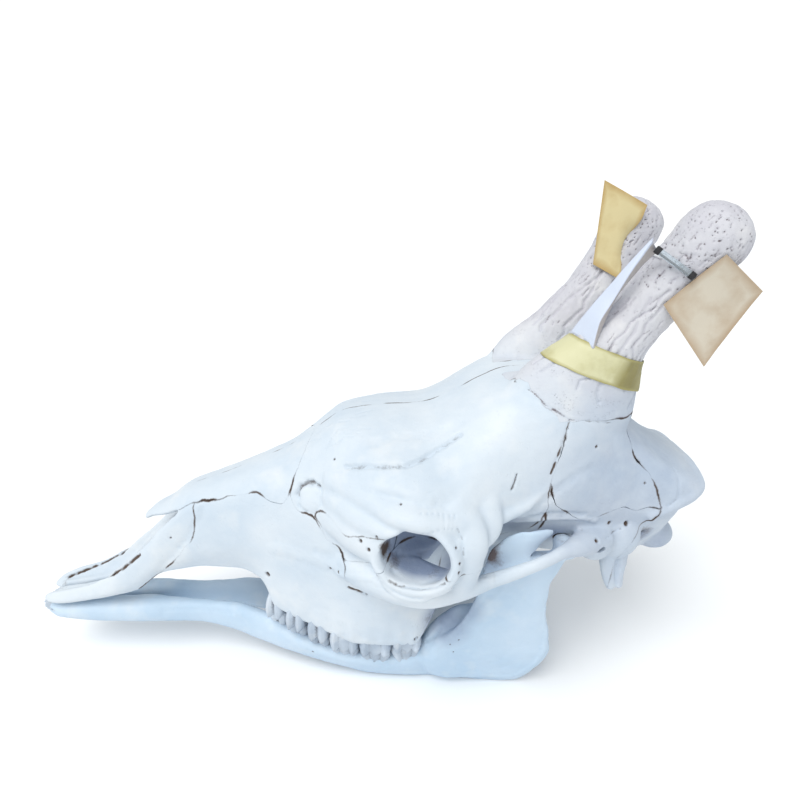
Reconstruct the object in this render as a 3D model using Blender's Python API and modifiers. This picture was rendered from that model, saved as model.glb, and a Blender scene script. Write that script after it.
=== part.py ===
"""Giraffe skull with its lower jaw, life size, as it lies on a museum table.

The snout points to -X, the left side to -Y, and +Z is up. The lower jaw rests on the floor
at Z = 0, the upper teeth rest on it, and a paper band and paper tags are tied to the horns.
Every table below is in millimetres along the skull, x from the front of the snout, and
MM turns it into metres. The origin is on the floor under the middle of the skull's box.
"""
import math

import bpy
import bmesh
import numpy as np
from mathutils import Matrix, Vector

MM = 0.001
GAP = 0.32                    # clear space between neighbouring bones
SKULL_MIDDLE = (311.5, 0.0)   # x and y of the box's middle, which becomes the origin

VOXEL_ROUGH = 2.6             # first fusing of the overlapping bodies
VOXEL_FINE = 2.2              # second fusing, after the hollows are cut
CRANIUM_FACES = 4600          # triangles of the whole cranium before it is parted
EASE_ANGLE = 2.5              # degrees below which two faces count as one
JAW_FACES = 1000              # triangles of each half of the lower jaw

# Long lines of the cranium: (x, value) stops, each joined by a smooth curve.
ROOF_Z = [(108, 122), (128, 148), (145, 166), (163, 180), (190, 197), (206, 206), (245, 224),
          (268, 240), (285, 254), (300, 264), (335, 270), (371, 272), (401, 284), (425, 297),
          (446, 306), (475, 308), (500, 304), (530, 290), (557, 269), (575, 254), (590, 244),
          (606, 236), (622, 227)]
ROOF_HALF = [(108, 10), (163, 16), (206, 22), (245, 28), (285, 38), (335, 55), (371, 64),
             (400, 68), (446, 70), (475, 70), (500, 68), (530, 56), (557, 44), (606, 46),
             (622, 46)]
ROOF_DROP = [(108, 3), (206, 4), (285, 8), (371, 12), (400, 15), (446, 14), (475, 13),
             (500, 14), (557, 12), (622, 6)]
BROW_HALF = [(108, 21), (145, 27), (163, 30), (212, 38), (243, 46), (275, 59), (300, 74),
             (335, 97), (371, 108), (400, 108), (425, 98), (446, 89), (475, 84), (500, 80),
             (515, 75), (540, 68), (557, 63), (590, 62), (606, 63), (622, 58)]
BROW_Z = [(108, 118), (145, 154), (163, 174), (212, 192), (243, 200), (275, 206), (300, 220),
          (335, 232), (371, 224), (400, 212), (425, 208), (446, 213), (475, 232), (500, 245),
          (515, 248), (540, 244), (557, 240), (590, 227), (606, 219), (622, 213)]
CHEEK_HALF = [(108, 26), (145, 33), (163, 36), (212, 44), (243, 52), (275, 64), (300, 75),
              (335, 84), (371, 74), (400, 64), (428, 68), (450, 75), (475, 78), (500, 77),
              (530, 73), (557, 68), (590, 66), (606, 60), (622, 50)]
CHEEK_Z = [(108, 106), (145, 128), (163, 140), (212, 150), (243, 155), (275, 163), (300, 160),
           (335, 155), (371, 150), (400, 168), (428, 186), (450, 191), (475, 194), (500, 197),
           (530, 195), (557, 192), (590, 196), (606, 201), (622, 206)]
GUM_HALF = [(108, 25), (145, 30), (201, 34), (221, 39), (232, 46), (254, 55), (279, 63),
            (297, 69), (315, 75), (346, 78), (366, 78), (387, 66), (402, 50), (446, 42),
            (500, 54), (557, 50), (606, 34), (622, 30)]
GUM_Z = [(108, 96), (145, 109), (173, 113), (201, 112), (221, 105), (228, 97), (234, 82),
         (254, 75), (279, 68), (297, 62), (315, 60), (346, 60), (366, 60), (378, 72), (388, 91),
         (402, 114), (446, 140), (500, 142), (557, 136), (594, 138), (606, 152), (614, 184),
         (622, 205)]
PALATE_HALF = [(108, 12), (173, 18), (221, 22), (254, 32), (300, 42), (363, 46), (385, 40),
               (446, 22), (557, 24), (606, 20), (622, 18)]
PALATE_Z = [(108, 99), (173, 117), (221, 113), (254, 103), (300, 92), (363, 90), (385, 102),
            (400, 124), (446, 136), (500, 134), (557, 128), (594, 132), (606, 148), (614, 182),
            (622, 207)]
CORE_STEPS = 44
CORE_SIDES = 40
NASAL_STEPS = 24
NASAL_SIDES = 20
PREMAX_STEPS = 28
PREMAX_SIDES = 20
RIM_STEPS = 28
RIM_SIDES = 10
BAR_STEPS = 22
POST_SIDES = 20               # round the upright bars and the horns
JAW_STEPS = 60
JAW_SIDES = 20
RAMUS_STEPS = 20
RAMUS_SIDES = 24

# Nasal bones: a pointed roof over the opening of the nose.
NASAL_TOP = [(108, 156), (113, 160), (120, 166), (133, 173), (152, 187), (180, 198), (206, 208),
             (245, 226), (275, 243)]
NASAL_HALF = [(108, 5), (113, 9), (118, 12), (133, 18), (150, 25), (163, 29), (190, 33), (212, 37),
              (245, 40), (275, 42)]
NASAL_DROP = [(108, 1), (133, 6), (163, 11), (212, 15), (275, 22)]
NASAL_THICK = [(108, 6), (140, 9), (200, 14), (275, 20)]

# Each premaxilla: inner and outer side, lower and upper edge.
PREMAX_IN = [(1, 5), (10, 2.2), (25, 2.2), (50, 3), (75, 8), (100, 15), (130, 21), (172, 27)]
PREMAX_OUT = [(1, 13), (10, 20), (25, 24), (50, 26), (75, 28), (100, 30), (130, 32), (172, 34)]
PREMAX_LOW = [(1, 65), (10, 64), (25, 65), (50, 69), (75, 74.5), (100, 84), (115, 97), (130, 112),
              (145, 125), (160, 142), (172, 165)]
PREMAX_TOP = [(1, 69), (10, 75.5), (25, 80.5), (50, 88), (75, 103), (100, 124), (115, 138),
              (130, 156), (145, 171), (160, 181), (172, 186)]
TROUGH_END = 105.0            # where the channel between the two sides begins, and how fast
TROUGH_RUN = 40.0

# Rows of cheek teeth: x where each tooth starts, and how many lobes it has.
TOOTH_STARTS = [226, 246, 267, 288, 316, 346]
TOOTH_ROW_END = 374
TOOTH_LOBES = [1, 1, 1, 2, 2, 2]
ROW_HALF = [(226, 45), (254, 56), (279, 64), (305, 71), (330, 75.5), (355, 77.5),
            (374, 76.5)]
ROW_GUM_Z = [(226, 85), (244, 82), (260, 78), (275, 73), (290, 69.5), (304, 66.5), (345, 66),
             (374, 66)]
ROW_TIP_Z = [(226, 71), (243, 65), (262, 57), (280, 50), (300, 45.5), (327, 44), (345, 48),
             (374, 54)]
UPPER_DEPTH = 19.0            # a cheek tooth's size across the row
LOWER_DEPTH = 12.0
BITE_GAP = 0.35

# Eye socket: middle of its rim, half sizes along the rim, and how it faces.
SOCKET = dict(x=361, y=116, z=186, half_length=31, half_height=25.5, rim=4.6, thin_top=0.45,
              turn_forward=18, turn_down=8, depth=47)

# Cheek arch: (x, half, z, half height, half thickness)
ARCH = [(308, 78, 146, 10, 8), (330, 96, 147, 12, 9), (350, 106, 146, 12, 9),
        (375, 114, 147, 11, 8), (400, 115, 153, 9, 7), (428, 109, 159, 7, 5.5),
        (455, 106, 167, 6, 5), (478, 102, 175, 6, 5), (486, 98, 177, 6.5, 6),
        (494, 94, 177, 7.5, 8), (503, 88, 176, 9, 10.5), (516, 78, 173, 11.5, 13),
        (530, 68, 170, 12, 14)]
# Bar behind the eye socket, from the forehead down to the arch.
EYE_BAR = [(390, 100, 222, 15, 10), (400, 111, 210, 16, 8), (404, 119, 196, 14, 7),
           (404, 119.5, 184, 11, 6.5), (401, 119, 170, 11, 6), (400, 115, 154, 10, 7)]
EYE_PLATE = [(412, 78, 246, 12, 4), (414, 88, 232, 14, 6), (417, 96, 218, 14, 7),
             (419, 102, 207, 13, 7), (412, 107, 197, 11, 6), (403, 113, 187, 8, 5.5),
             (400, 116, 178, 5, 5)]
# Bone that flares out from the face to the eye socket, below, before and above it.
CHEEKBONE = [(290, 62, 149, 8, 7), (312, 74, 150, 16, 15), (334, 87, 151, 18, 21),
             (356, 98, 152, 16, 24), (376, 106, 153, 13, 20), (396, 110, 156, 10, 11)]
TEAR_SIDE = [(284, 58, 192, 14, 8), (302, 69, 192, 20, 15), (318, 82, 190, 22, 17),
             (334, 93, 188, 22, 18), (350, 102, 187, 17, 13)]
BROW_SIDE = [(288, 57, 207, 12, 9), (306, 71, 208, 13, 14), (324, 85, 206, 14, 18),
             (341, 93, 205, 12, 21), (356, 100, 206, 8, 19)]
SHELF = [(290, 56, 222, 10, 8), (312, 70, 223, 13, 14), (338, 84, 221, 13, 22),
         (364, 97, 217, 13, 26), (390, 99, 212, 13, 22), (414, 92, 208, 11, 12)]
# Temporal line, a low crest from the eye bar up the side of the braincase.
CREST = [(392, 112, 214, 7, 9), (420, 96, 206, 6, 8), (450, 84, 212, 6, 8), (470, 79, 226, 6, 7),
         (490, 75, 240, 6, 7), (512, 68, 244, 5, 6), (536, 61, 242, 4, 5), (556, 54, 238, 3, 4)]
# Crest across the back of the head.
NUCHAL = [(616, 0, 226, 5, 6), (618, 30, 223, 5.5, 6), (618, 52, 214, 6.5, 6),
          (608, 61, 207, 6, 5), (589, 65, 199, 6, 5), (570, 66, 188, 6, 5)]
BEHIND_EAR = [(557, 52, 166, 17, 9), (549, 58, 148, 15, 7), (549, 63, 130, 12, 5),
              (552, 67, 112, 8, 3)]
CONDYLE = dict(x=600, y=27, z=147, size=(19, 17, 15))
SPINE_HOLE = dict(z=160, radius=15, front=566, back=650)
EAR_BULB = dict(x=530, y=38, z=148, size=(17, 11, 12))
EAR_LUMP = dict(x=526, y=66, z=166, size=(18, 14, 20))
MASTOID = dict(x=549, y=62, z=165, size=(20, 11, 21))
EAR_HOLE = dict(x=523, z=168, radius=4.5, deep=62, out=100)

# Horns: (x, half, z, half size along the head, half size across it)
HORN = [(493, 42, 280, 57, 32), (502, 43.5, 300, 52, 30), (511, 46, 320, 41, 27),
        (521, 48.5, 342, 29, 25), (537, 52, 366, 23.5, 23), (553, 57, 390, 23.5, 23),
        (566, 63, 411, 25, 25), (575, 67, 425, 26.5, 26), (583, 69.5, 436, 23.5, 23),
        (588, 71, 443, 14.5, 14), (590, 71.5, 445.5, 5, 5)]
HORN_SEAM = [(440, 16), (442, 30), (446, 46), (456, 62), (466, 70), (477, 76), (484, 125),
             (640, 125), (640, 16)]
HORN_SEAM_Z = [(16, 300), (40, 291), (57, 283), (75, 284), (125, 276)]

# Lower jaw, horizontal part: centre line, half thickness, lower and upper edge.
JAW_Y_LOW = [(4, 9), (17, 10), (54, 12), (82, 12), (105, 12.5), (125, 13), (155, 14.5), (192, 18),
             (213, 22), (239, 30), (262, 35), (302, 42), (370, 50), (440, 61), (491, 68)]
JAW_Y_TOP = [(4, 9), (17, 10), (54, 12), (82, 12), (105, 12.5), (125, 13), (155, 14.5), (192, 19),
             (213, 23), (239, 34), (262, 44), (302, 54), (370, 61), (440, 68), (491, 72)]
JAW_HALF = [(4, 6), (17, 11), (54, 11.8), (82, 11.8), (105, 11.5), (125, 9), (155, 7), (213, 8.5),
            (262, 11.5), (330, 12), (400, 10), (450, 7), (491, 4)]
JAW_LOW = [(4, 51), (17, 46), (54, 42), (82, 40.5), (105, 39.5), (125, 38.5), (155, 37.5),
           (192, 28), (213, 20), (239, 16), (262, 12), (302, 4), (325, -1), (370, -2), (440, -2),
           (466, 1), (482, 12), (491, 32)]
JAW_TOP = [(4, 58), (17, 61), (54, 64.5), (82, 64.5), (105, 66), (125, 64.5), (155, 62.5),
           (192, 62), (213, 57), (239, 50.5), (262, 45), (302, 37), (330, 36), (366, 40),
           (374, 50), (381, 66), (393, 83), (410, 96), (440, 100), (470, 80), (491, 60)]
# Rising part of the jaw: (z, x front, x back, half)
RAMUS = [(10, 384, 476, 64), (24, 378, 488, 68), (38, 374, 494, 71), (48, 380, 496, 73),
         (58, 384, 494, 74), (75, 400, 490, 77), (104, 414, 484, 81), (130, 421, 484, 84),
         (147, 431, 490, 84), (164, 450, 499, 82)]
RAMUS_HALF = 5.0
# Coronoid process, which rises inside the cheek arch: (x, half, z, half length, half width)
CORONOID = [(442, 86, 128, 20, 4), (441, 88, 150, 19, 3.6), (444, 89, 165, 20, 3.2),
            (449, 89, 178, 13, 2.8), (455, 89, 186, 8, 2.2), (458, 89, 190, 4, 1.6)]
CORONOID_TIP = [(446, 88, 170, 16, 3.2), (458, 88.5, 179, 12, 3), (470, 87.5, 186, 6, 2.6),
                (477, 86.5, 188, 4, 2), (480, 86, 188, 2.5, 1.6)]
JAW_KNOB = dict(x=495, y=77, z=167, size=(10, 16, 8))
# Front teeth of each side, set on an arc: angles in degrees, sizes of the longest tooth.
INCISOR = dict(count=4, first=10, between=24, x=14, z=54, along=7, aside=9, spread=2, length=11,
               rise=4.0)
INCISOR_RINGS = [(0, 1.8, 2.2), (0.45, 2.6, 2.0), (0.9, 3.4, 1.3), (1, 2.8, 0.7)]
TOOTH_ROOT = 8.0              # how deep a cheek tooth is sunk in the bone
# The lower row stands further in than the upper one.
LOWER_HALF = [(226, 31), (254, 45), (279, 55), (305, 62.5), (330, 67.5), (355, 69.5), (374, 68.5)]

# Hollows: (x, half, z, half height, half thickness) down the nose and behind the palate.
NOSE_HOLLOW = [(88, 0, 127, 21, 12), (112, 0, 126, 20, 17), (135, 0, 138, 20, 19),
               (163, 0, 148, 21, 21), (195, 0, 154, 20, 21), (228, 0, 156, 13, 12)]
THROAT_HOLLOW = [(330, 0, 112, 8, 14), (350, 0, 110, 13, 22), (385, 0, 109, 17, 26),
                 (420, 0, 108, 17, 24), (450, 0, 106, 16, 22)]
PALATE_BAR = [(14, 5, 70, 4, 3), (45, 5, 75, 4, 3.5), (80, 6, 83, 4.5, 4), (118, 9, 103, 6, 6)]
WING = [(378, 36, 100, 10, 5), (398, 33, 106, 14, 4), (425, 28, 116, 15, 3.5),
        (452, 23, 130, 12, 4)]
VOMER = [(330, 0, 122, 8, 3), (385, 0, 126, 10, 2.5), (430, 0, 134, 7, 3)]

# What is tied to the horns. Corners run round each sheet, (x, y, z).
BAND = dict(low=(500.5, 318), high=(510, 341), slope=-19, thick=1.4)
TIE = dict(at=(543, 409.2), slope=-35.6, width=1.8, thick=1.5)
TUBE = dict(front=(531.5, -75, 417.5), back=(554.5, -87, 401), radius=2.6)
BEIGE_TAG = dict(corners=[(541, -79.5, 379), (571, -94.5, 417), (604, -93, 392), (579, -84, 333)],
                 bow=1.5, thick=0.9)
YELLOW_TAG = dict(corners=[(530, 37, 393), (553, 29, 381), (573, 40, 445), (532, 42, 465)],
                  bow=1.5, thick=0.9)
SLIP_ROWS = [((487.2, -43.3, 348.5), (497.6, -68.6, 342.3), (499, -68.4, 343.5)),
             ((496.5, -52, 369.5), (499, -70, 361.5), (503, -66, 356)),
             ((507, -60, 390), (507.5, -71, 381.5), (512, -64, 381)),
             ((517, -67, 408.5), (516, -73, 402), (526, -64, 402.5)),
             ((528, -73, 426), (527.5, -74, 423), (534.5, -70, 416))]
SLIP_THICK = 0.8

COLOURS = {
    "bone": (0.80, 0.83, 0.87), "horn": (0.72, 0.71, 0.75), "jaw": (0.70, 0.77, 0.86),
    "tape": (0.78, 0.74, 0.42), "yellow card": (0.83, 0.72, 0.40), "beige card": (0.80, 0.70, 0.54),
    "blue paper": (0.72, 0.80, 0.93), "tube": (0.55, 0.68, 0.78),
}


def smooth_line(stops):
    """Returns a function of x through the stops, with slopes that never overshoot."""
    xs = np.array([stop[0] for stop in stops], float)
    ys = np.array([stop[1] for stop in stops], float)
    steps = np.diff(xs)
    rises = np.diff(ys) / steps
    slopes = np.zeros(len(xs))
    for i in range(1, len(xs) - 1):
        if rises[i - 1] * rises[i] > 0:
            slopes[i] = 2 * rises[i - 1] * rises[i] / (rises[i - 1] + rises[i])
    slopes[0], slopes[-1] = rises[0], rises[-1]

    def value(x):
        x = min(max(x, xs[0]), xs[-1])
        i = min(int(np.searchsorted(xs, x, side="right")) - 1, len(steps) - 1)
        t = (x - xs[i]) / steps[i]
        start = (1 + 2 * t) * (1 - t) ** 2 * ys[i] + t * (1 - t) ** 2 * steps[i] * slopes[i]
        end = t * t * (3 - 2 * t) * ys[i + 1] + t * t * (t - 1) * steps[i] * slopes[i + 1]
        return start + end

    return value


def closed_curve(points, count):
    """Points spread evenly in parameter on a closed Catmull-Rom curve."""
    points = np.array(points, float)
    total = len(points)
    out = []
    for k in range(count):
        u = k * total / count
        i = int(u)
        t = u - i
        a, b, c, d = (points[(i + j - 1) % total] for j in range(4))
        out.append(0.5 * (2 * b + (c - a) * t + (2 * a - 5 * b + 4 * c - d) * t * t
                          + (3 * b - a - 3 * c + d) * t ** 3))
    return out


def along(rows, steps):
    """Rows of numbers interpolated smoothly against their running length."""
    rows = np.array(rows, float)
    lengths = np.r_[0, np.cumsum(np.linalg.norm(np.diff(rows[:, :3], axis=0), axis=1))]
    lines = [smooth_line(list(zip(lengths, rows[:, c]))) for c in range(rows.shape[1])]
    return [[line(s) for line in lines] for s in np.linspace(0, lengths[-1], steps)]


def place(point):
    """A millimetre point of the tables as metres round the origin."""
    return Vector(((point[0] - SKULL_MIDDLE[0]) * MM, (point[1] - SKULL_MIDDLE[1]) * MM,
                   point[2] * MM))


def new_object(name, mesh, collection):
    thing = bpy.data.objects.new(name, mesh)
    collection.objects.link(thing)
    return thing


def loft(name, rings, collection):
    """A closed body through rings of equal count, with a flat face at each end."""
    bm = bmesh.new()
    made = [[bm.verts.new(place(p)) for p in ring] for ring in rings]
    count = len(made[0])
    for lower, upper in zip(made, made[1:]):
        for i in range(count):
            j = (i + 1) % count
            bm.faces.new((lower[i], lower[j], upper[j], upper[i]))
    bm.faces.new(list(reversed(made[0])))
    bm.faces.new(made[-1])
    bmesh.ops.recalc_face_normals(bm, faces=bm.faces)
    mesh = bpy.data.meshes.new(name)
    bm.to_mesh(mesh)
    bm.free()
    return new_object(name, mesh, collection)


def oval_path(name, rows, side, collection, steps=18, sides=12, reference=(0, 0, 1)):
    """A body of oval sections along rows of (x, half, z, half height, half thickness)."""
    rows = along(rows, steps)
    centres = [Vector((r[0], r[1] * side, r[2])) for r in rows]
    rings = []
    for i, row in enumerate(rows):
        ahead = (centres[min(i + 1, steps - 1)] - centres[max(i - 1, 0)]).normalized()
        across = ahead.cross(Vector(reference)).normalized()
        up = across.cross(ahead).normalized()
        angles = [2 * math.pi * k / sides for k in range(sides)]
        rings.append([centres[i] + up * (math.cos(a) * row[3]) + across * (math.sin(a) * row[4])
                      for a in angles])
    return loft(name, rings, collection)


def ball(name, centre, size, collection, turn=None, rings=12):
    """An ellipsoid from a sphere primitive."""
    bm = bmesh.new()
    bmesh.ops.create_uvsphere(bm, u_segments=rings * 2, v_segments=rings, radius=1.0)
    matrix = Matrix.Diagonal((size[0] * MM, size[1] * MM, size[2] * MM, 1.0))
    if turn is not None:
        matrix = turn.to_4x4() @ matrix
    bm.transform(Matrix.Translation(place(centre)) @ matrix)
    mesh = bpy.data.meshes.new(name)
    bm.to_mesh(mesh)
    bm.free()
    return new_object(name, mesh, collection)


def core_body(collection):
    """Face and braincase as one loft of sections across the head."""
    lines = [smooth_line(s) for s in (PALATE_HALF, PALATE_Z, GUM_HALF, GUM_Z, CHEEK_HALF, CHEEK_Z,
                                      BROW_HALF, BROW_Z, ROOF_HALF, ROOF_DROP, ROOF_Z)]
    rings = []
    for x in np.linspace(ROOF_Z[0][0], ROOF_Z[-1][0], CORE_STEPS):
        (pal_half, pal_z, gum_half, gum_z, cheek_half, cheek_z,
         brow_half, brow_z, roof_half, roof_drop, roof_z) = (line(x) for line in lines)
        left = [(pal_half, pal_z - 1), (gum_half * 0.86, gum_z + 1), (gum_half, gum_z + 7),
                (cheek_half, cheek_z), (brow_half, brow_z), (roof_half, roof_z - roof_drop)]
        ring = ([(0, pal_z)] + left + [(0, roof_z)] + [(-y, z) for y, z in reversed(left)])
        rings.append([(x, y, z) for y, z in closed_curve(ring, CORE_SIDES)])
    return loft("core", rings, collection)


def nasal_body(collection):
    top, half, drop, thick = (smooth_line(s) for s in (NASAL_TOP, NASAL_HALF, NASAL_DROP,
                                                       NASAL_THICK))
    rings = []
    for x in np.linspace(NASAL_TOP[0][0], NASAL_TOP[-1][0], NASAL_STEPS):
        w, t, d, h = half(x), top(x), drop(x), thick(x)
        ring = [(0, t), (0.55 * w, t - 0.22 * d), (w, t - d), (0.8 * w, t - d - 0.5 * h),
                (0, t - h - 0.4 * d)]
        ring = ring + [(-y, z) for y, z in ring[3:0:-1]]
        rings.append([(x, y, z) for y, z in closed_curve(ring, NASAL_SIDES)])
    return loft("nasals", rings, collection)


def premaxilla_body(side, collection):
    inner, outer, low, top = (smooth_line(s) for s in (PREMAX_IN, PREMAX_OUT, PREMAX_LOW,
                                                       PREMAX_TOP))
    rings = []
    for x in np.linspace(PREMAX_IN[0][0], PREMAX_IN[-1][0], PREMAX_STEPS):
        y0, y1, z0, z1 = inner(x), outer(x), low(x), top(x)
        wide, tall = y1 - y0, z1 - z0
        # Towards the front the two sides leave a channel between them.
        trough = min(max((TROUGH_END - x) / TROUGH_RUN, 0.0), 1.0)
        ring = [(y0, z0 + 3), (y0 + 0.5 * wide, z0), (y1, z0 + 0.3 * tall),
                (y1 - 0.10 * wide, z0 + 0.78 * tall), (y1 - (0.5 - 0.2 * trough) * wide, z1),
                (y1 - 0.70 * wide, z1 - (0.12 + 0.32 * trough) * tall),
                (y0, z1 - (0.3 + 0.28 * trough) * tall)]
        rings.append([(x, y * side, z) for y, z in closed_curve(ring, PREMAX_SIDES)])
    return loft("premaxilla", rings, collection)


def socket_turn(side):
    forward = Matrix.Rotation(math.radians(-SOCKET["turn_forward"]) * -side, 3, "Z")
    down = Matrix.Rotation(math.radians(SOCKET["turn_down"]) * side, 3, "X")
    return forward @ down


def socket_rim(side, collection):
    """The raised ring round an eye socket, a tube on an ellipse."""
    turn = socket_turn(side)
    centre = Vector((SOCKET["x"], SOCKET["y"] * side, SOCKET["z"]))
    bm = bmesh.new()
    made = []
    for i in range(RIM_STEPS):
        a = 2 * math.pi * i / RIM_STEPS
        out = Vector((math.cos(a), 0, math.sin(a)))
        on = Vector((math.cos(a) * SOCKET["half_length"], 0, math.sin(a) * SOCKET["half_height"]))
        # The rim thins out above and before the eye.
        thick = 1 - SOCKET["thin_top"] * max(0.0, 0.8 * math.sin(a) - 0.6 * math.cos(a))
        ring = []
        for k in range(RIM_SIDES):
            b = 2 * math.pi * k / RIM_SIDES
            tube = (out * (math.cos(b) * SOCKET["rim"] * thick + 2)
                    + Vector((0, math.sin(b) * 7 * thick, 0)))
            ring.append(bm.verts.new(place(centre + turn @ (on + tube))))
        made.append(ring)
    for i in range(RIM_STEPS):
        here, there = made[i], made[(i + 1) % RIM_STEPS]
        for k in range(RIM_SIDES):
            j = (k + 1) % RIM_SIDES
            bm.faces.new((here[k], here[j], there[j], there[k]))
    bmesh.ops.recalc_face_normals(bm, faces=bm.faces)
    mesh = bpy.data.meshes.new("rim")
    bm.to_mesh(mesh)
    bm.free()
    return new_object("rim", mesh, collection)


def join(name, things, collection):
    """Puts the meshes of several objects in one, still overlapping."""
    bm = bmesh.new()
    for thing in things:
        bm.from_mesh(thing.data)
        bpy.data.objects.remove(thing)
    mesh = bpy.data.meshes.new(name)
    bm.to_mesh(mesh)
    bm.free()
    return new_object(name, mesh, collection)


def applied(thing):
    """Bakes an object's modifiers into its mesh."""
    depsgraph = bpy.context.evaluated_depsgraph_get()
    mesh = bpy.data.meshes.new_from_object(thing.evaluated_get(depsgraph))
    thing.modifiers.clear()
    thing.data = mesh
    return thing


def fused(thing, voxel, soften=0):
    """One skin round overlapping bodies, softened by a few smoothing passes."""
    remesh = thing.modifiers.new("fuse", "REMESH")
    remesh.mode = "VOXEL"
    remesh.voxel_size = voxel * MM
    if soften:
        smooth = thing.modifiers.new("soften", "SMOOTH")
        smooth.factor = 0.5
        smooth.iterations = soften
    return applied(thing)


def thinned(thing, faces):
    """Fewer triangles, most of them where the surface bends."""
    triangles = sum(len(p.vertices) - 2 for p in thing.data.polygons)
    thin = thing.modifiers.new("thin", "DECIMATE")
    thin.ratio = min(1.0, faces / triangles)
    thin.use_collapse_triangulate = True
    return applied(thing)


def boolean(thing, other, operation, solver="MANIFOLD"):
    step = thing.modifiers.new("cut", "BOOLEAN")
    step.operation = operation
    step.solver = solver
    step.object = other
    return applied(thing)


def cut_away(thing, cutters):
    for cutter in cutters:
        boolean(thing, cutter, "DIFFERENCE")
        bpy.data.objects.remove(cutter)
    return thing


def largest_body(thing):
    """Keeps only the closed surface with the most volume."""
    bm = bmesh.new()
    bm.from_mesh(thing.data)
    bmesh.ops.remove_doubles(bm, verts=bm.verts, dist=1e-7)
    left = set(bm.faces)
    shells = []
    while left:
        shell = [left.pop()]
        stack = list(shell)
        while stack:
            for edge in stack.pop().edges:
                for face in edge.link_faces:
                    if face in left:
                        left.discard(face)
                        shell.append(face)
                        stack.append(face)
        shells.append(shell)

    def volume(shell):
        total = 0.0
        for face in shell:
            corners = [loop.vert.co for loop in face.loops]
            for b, c in zip(corners[1:], corners[2:]):
                total += corners[0].dot(b.cross(c)) / 6
        return total

    best = max(shells, key=volume)
    keep = set(best)
    bmesh.ops.delete(bm, geom=[f for f in bm.faces if f not in keep], context="FACES")
    bm.to_mesh(thing.data)
    bm.free()
    return thing


# Seams between the bones, drawn from the side as (x, z) stops.
NASAL_SEAM = [(60, 120), (100, 142), (128, 158), (145, 173), (163, 184), (188, 190), (212, 197),
              (226, 201), (240, 195), (250, 195), (256, 205), (259, 218), (265, 230), (268, 242),
              (272, 275)]
PREMAX_SEAM = [(190, 230), (170, 197), (165, 183), (166, 166), (162, 149), (149, 133), (131, 112),
               (114, 97), (100, 86), (96, 60)]
FACE_SEAM = [(269, 275), (266, 236), (259, 219), (256, 204), (263, 192), (277, 191), (283, 184),
             (288, 172), (299, 168), (304, 159), (304, 146), (309, 134), (322, 126), (350, 120),
             (385, 114), (404, 108)]
CROWN_SEAM = [(487, 345), (487, 300), (485, 286), (481, 272), (478, 255), (475, 243), (472, 234)]
SCALE_SEAM = [(472, 234), (480, 212), (500, 196), (513, 192), (530, 198), (546, 203), (556, 196),
              (568, 201), (580, 197)]
NAPE_SEAM = [(580, 197), (576, 207), (571, 220), (562, 233), (549, 246), (545, 263), (546, 345)]
BACK_SEAM = [(580, 197), (571, 187), (561, 172), (551, 158), (547, 140), (543, 100)]
CHEEK_BLOCK = [(303, 160), (316, 163), (334, 172), (346, 176), (392, 176), (432, 182), (428, 160),
               (432, 128), (415, 108), (385, 110), (350, 117), (322, 123), (309, 131), (302, 145)]
TEAR_BLOCK = [(278, 193), (284, 185), (289, 170), (300, 166), (304, 158), (316, 161), (334, 171),
              (347, 176), (348, 200), (330, 200), (314, 195), (305, 191), (296, 199), (286, 201)]
TEMPLE_BLOCK = [(472, 236), (474, 190), (468, 165), (468, 90), (600, 90), (600, 236)]
ARCH_BLOCK = [(430, 200), (426, 164), (431, 130), (500, 130), (500, 200)]
BASE_BLOCK = [(378, 60), (384, 113), (402, 140), (432, 157), (464, 180), (474, 205), (560, 205),
              (560, 60)]
WIDE = 160.0                  # half width that clears the whole skull
CHEEK_DEPTH = 64.0            # how far in the cheek bone reaches
TEAR_DEPTH = 46.0
TEMPLE_DEPTH = 37.0
ARCH_DEPTH = 88.0


def outward(outline, distance):
    """An outline pushed out by a distance, whichever way it runs."""
    area = sum(a[0] * b[1] - b[0] * a[1] for a, b in zip(outline, outline[1:] + outline[:1])) / 2
    turn = 1 if area > 0 else -1
    out = []
    for i, here in enumerate(outline):
        before, after = outline[i - 1], outline[(i + 1) % len(outline)]
        first = Vector((here[0] - before[0], here[1] - before[1])).normalized()
        second = Vector((after[0] - here[0], after[1] - here[1])).normalized()
        n1 = Vector((first.y, -first.x)) * turn
        n2 = Vector((second.y, -second.x)) * turn
        miter = (n1 + n2).normalized()
        reach = distance / max(miter.dot(n1), 0.35)
        out.append((here[0] + miter.x * reach, here[1] + miter.y * reach))
    return out


def block(outline, low, high, collection, flat="xz"):
    """A cutter: an outline in one plane pushed from low to high across it."""
    bm = bmesh.new()
    rings = []
    for level in (low, high):
        ring = []
        for p in outline:
            depth = level(p[1]) if callable(level) else level
            corner = (p[0], depth, p[1]) if flat == "xz" else (p[0], p[1], depth)
            ring.append(bm.verts.new(place(corner)))
        rings.append(ring)
    bm.faces.new(rings[0])
    bm.faces.new(list(reversed(rings[1])))
    count = len(outline)
    for i in range(count):
        j = (i + 1) % count
        bm.faces.new((rings[0][j], rings[0][i], rings[1][i], rings[1][j]))
    bmesh.ops.triangulate(bm, faces=bm.faces)
    bmesh.ops.recalc_face_normals(bm, faces=bm.faces)
    mesh = bpy.data.meshes.new("block")
    bm.to_mesh(mesh)
    bm.free()
    return new_object("block", mesh, collection)


def part_off(thing, name, inside, grown):
    """Splits a body in two with a thin gap: what is inside a block, and the rest."""
    piece = new_object(name, thing.data.copy(), thing.users_collection[0])
    boolean(piece, inside, "INTERSECT")
    boolean(thing, grown, "DIFFERENCE")
    bpy.data.objects.remove(inside)
    bpy.data.objects.remove(grown)
    return largest_body(piece)


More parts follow.
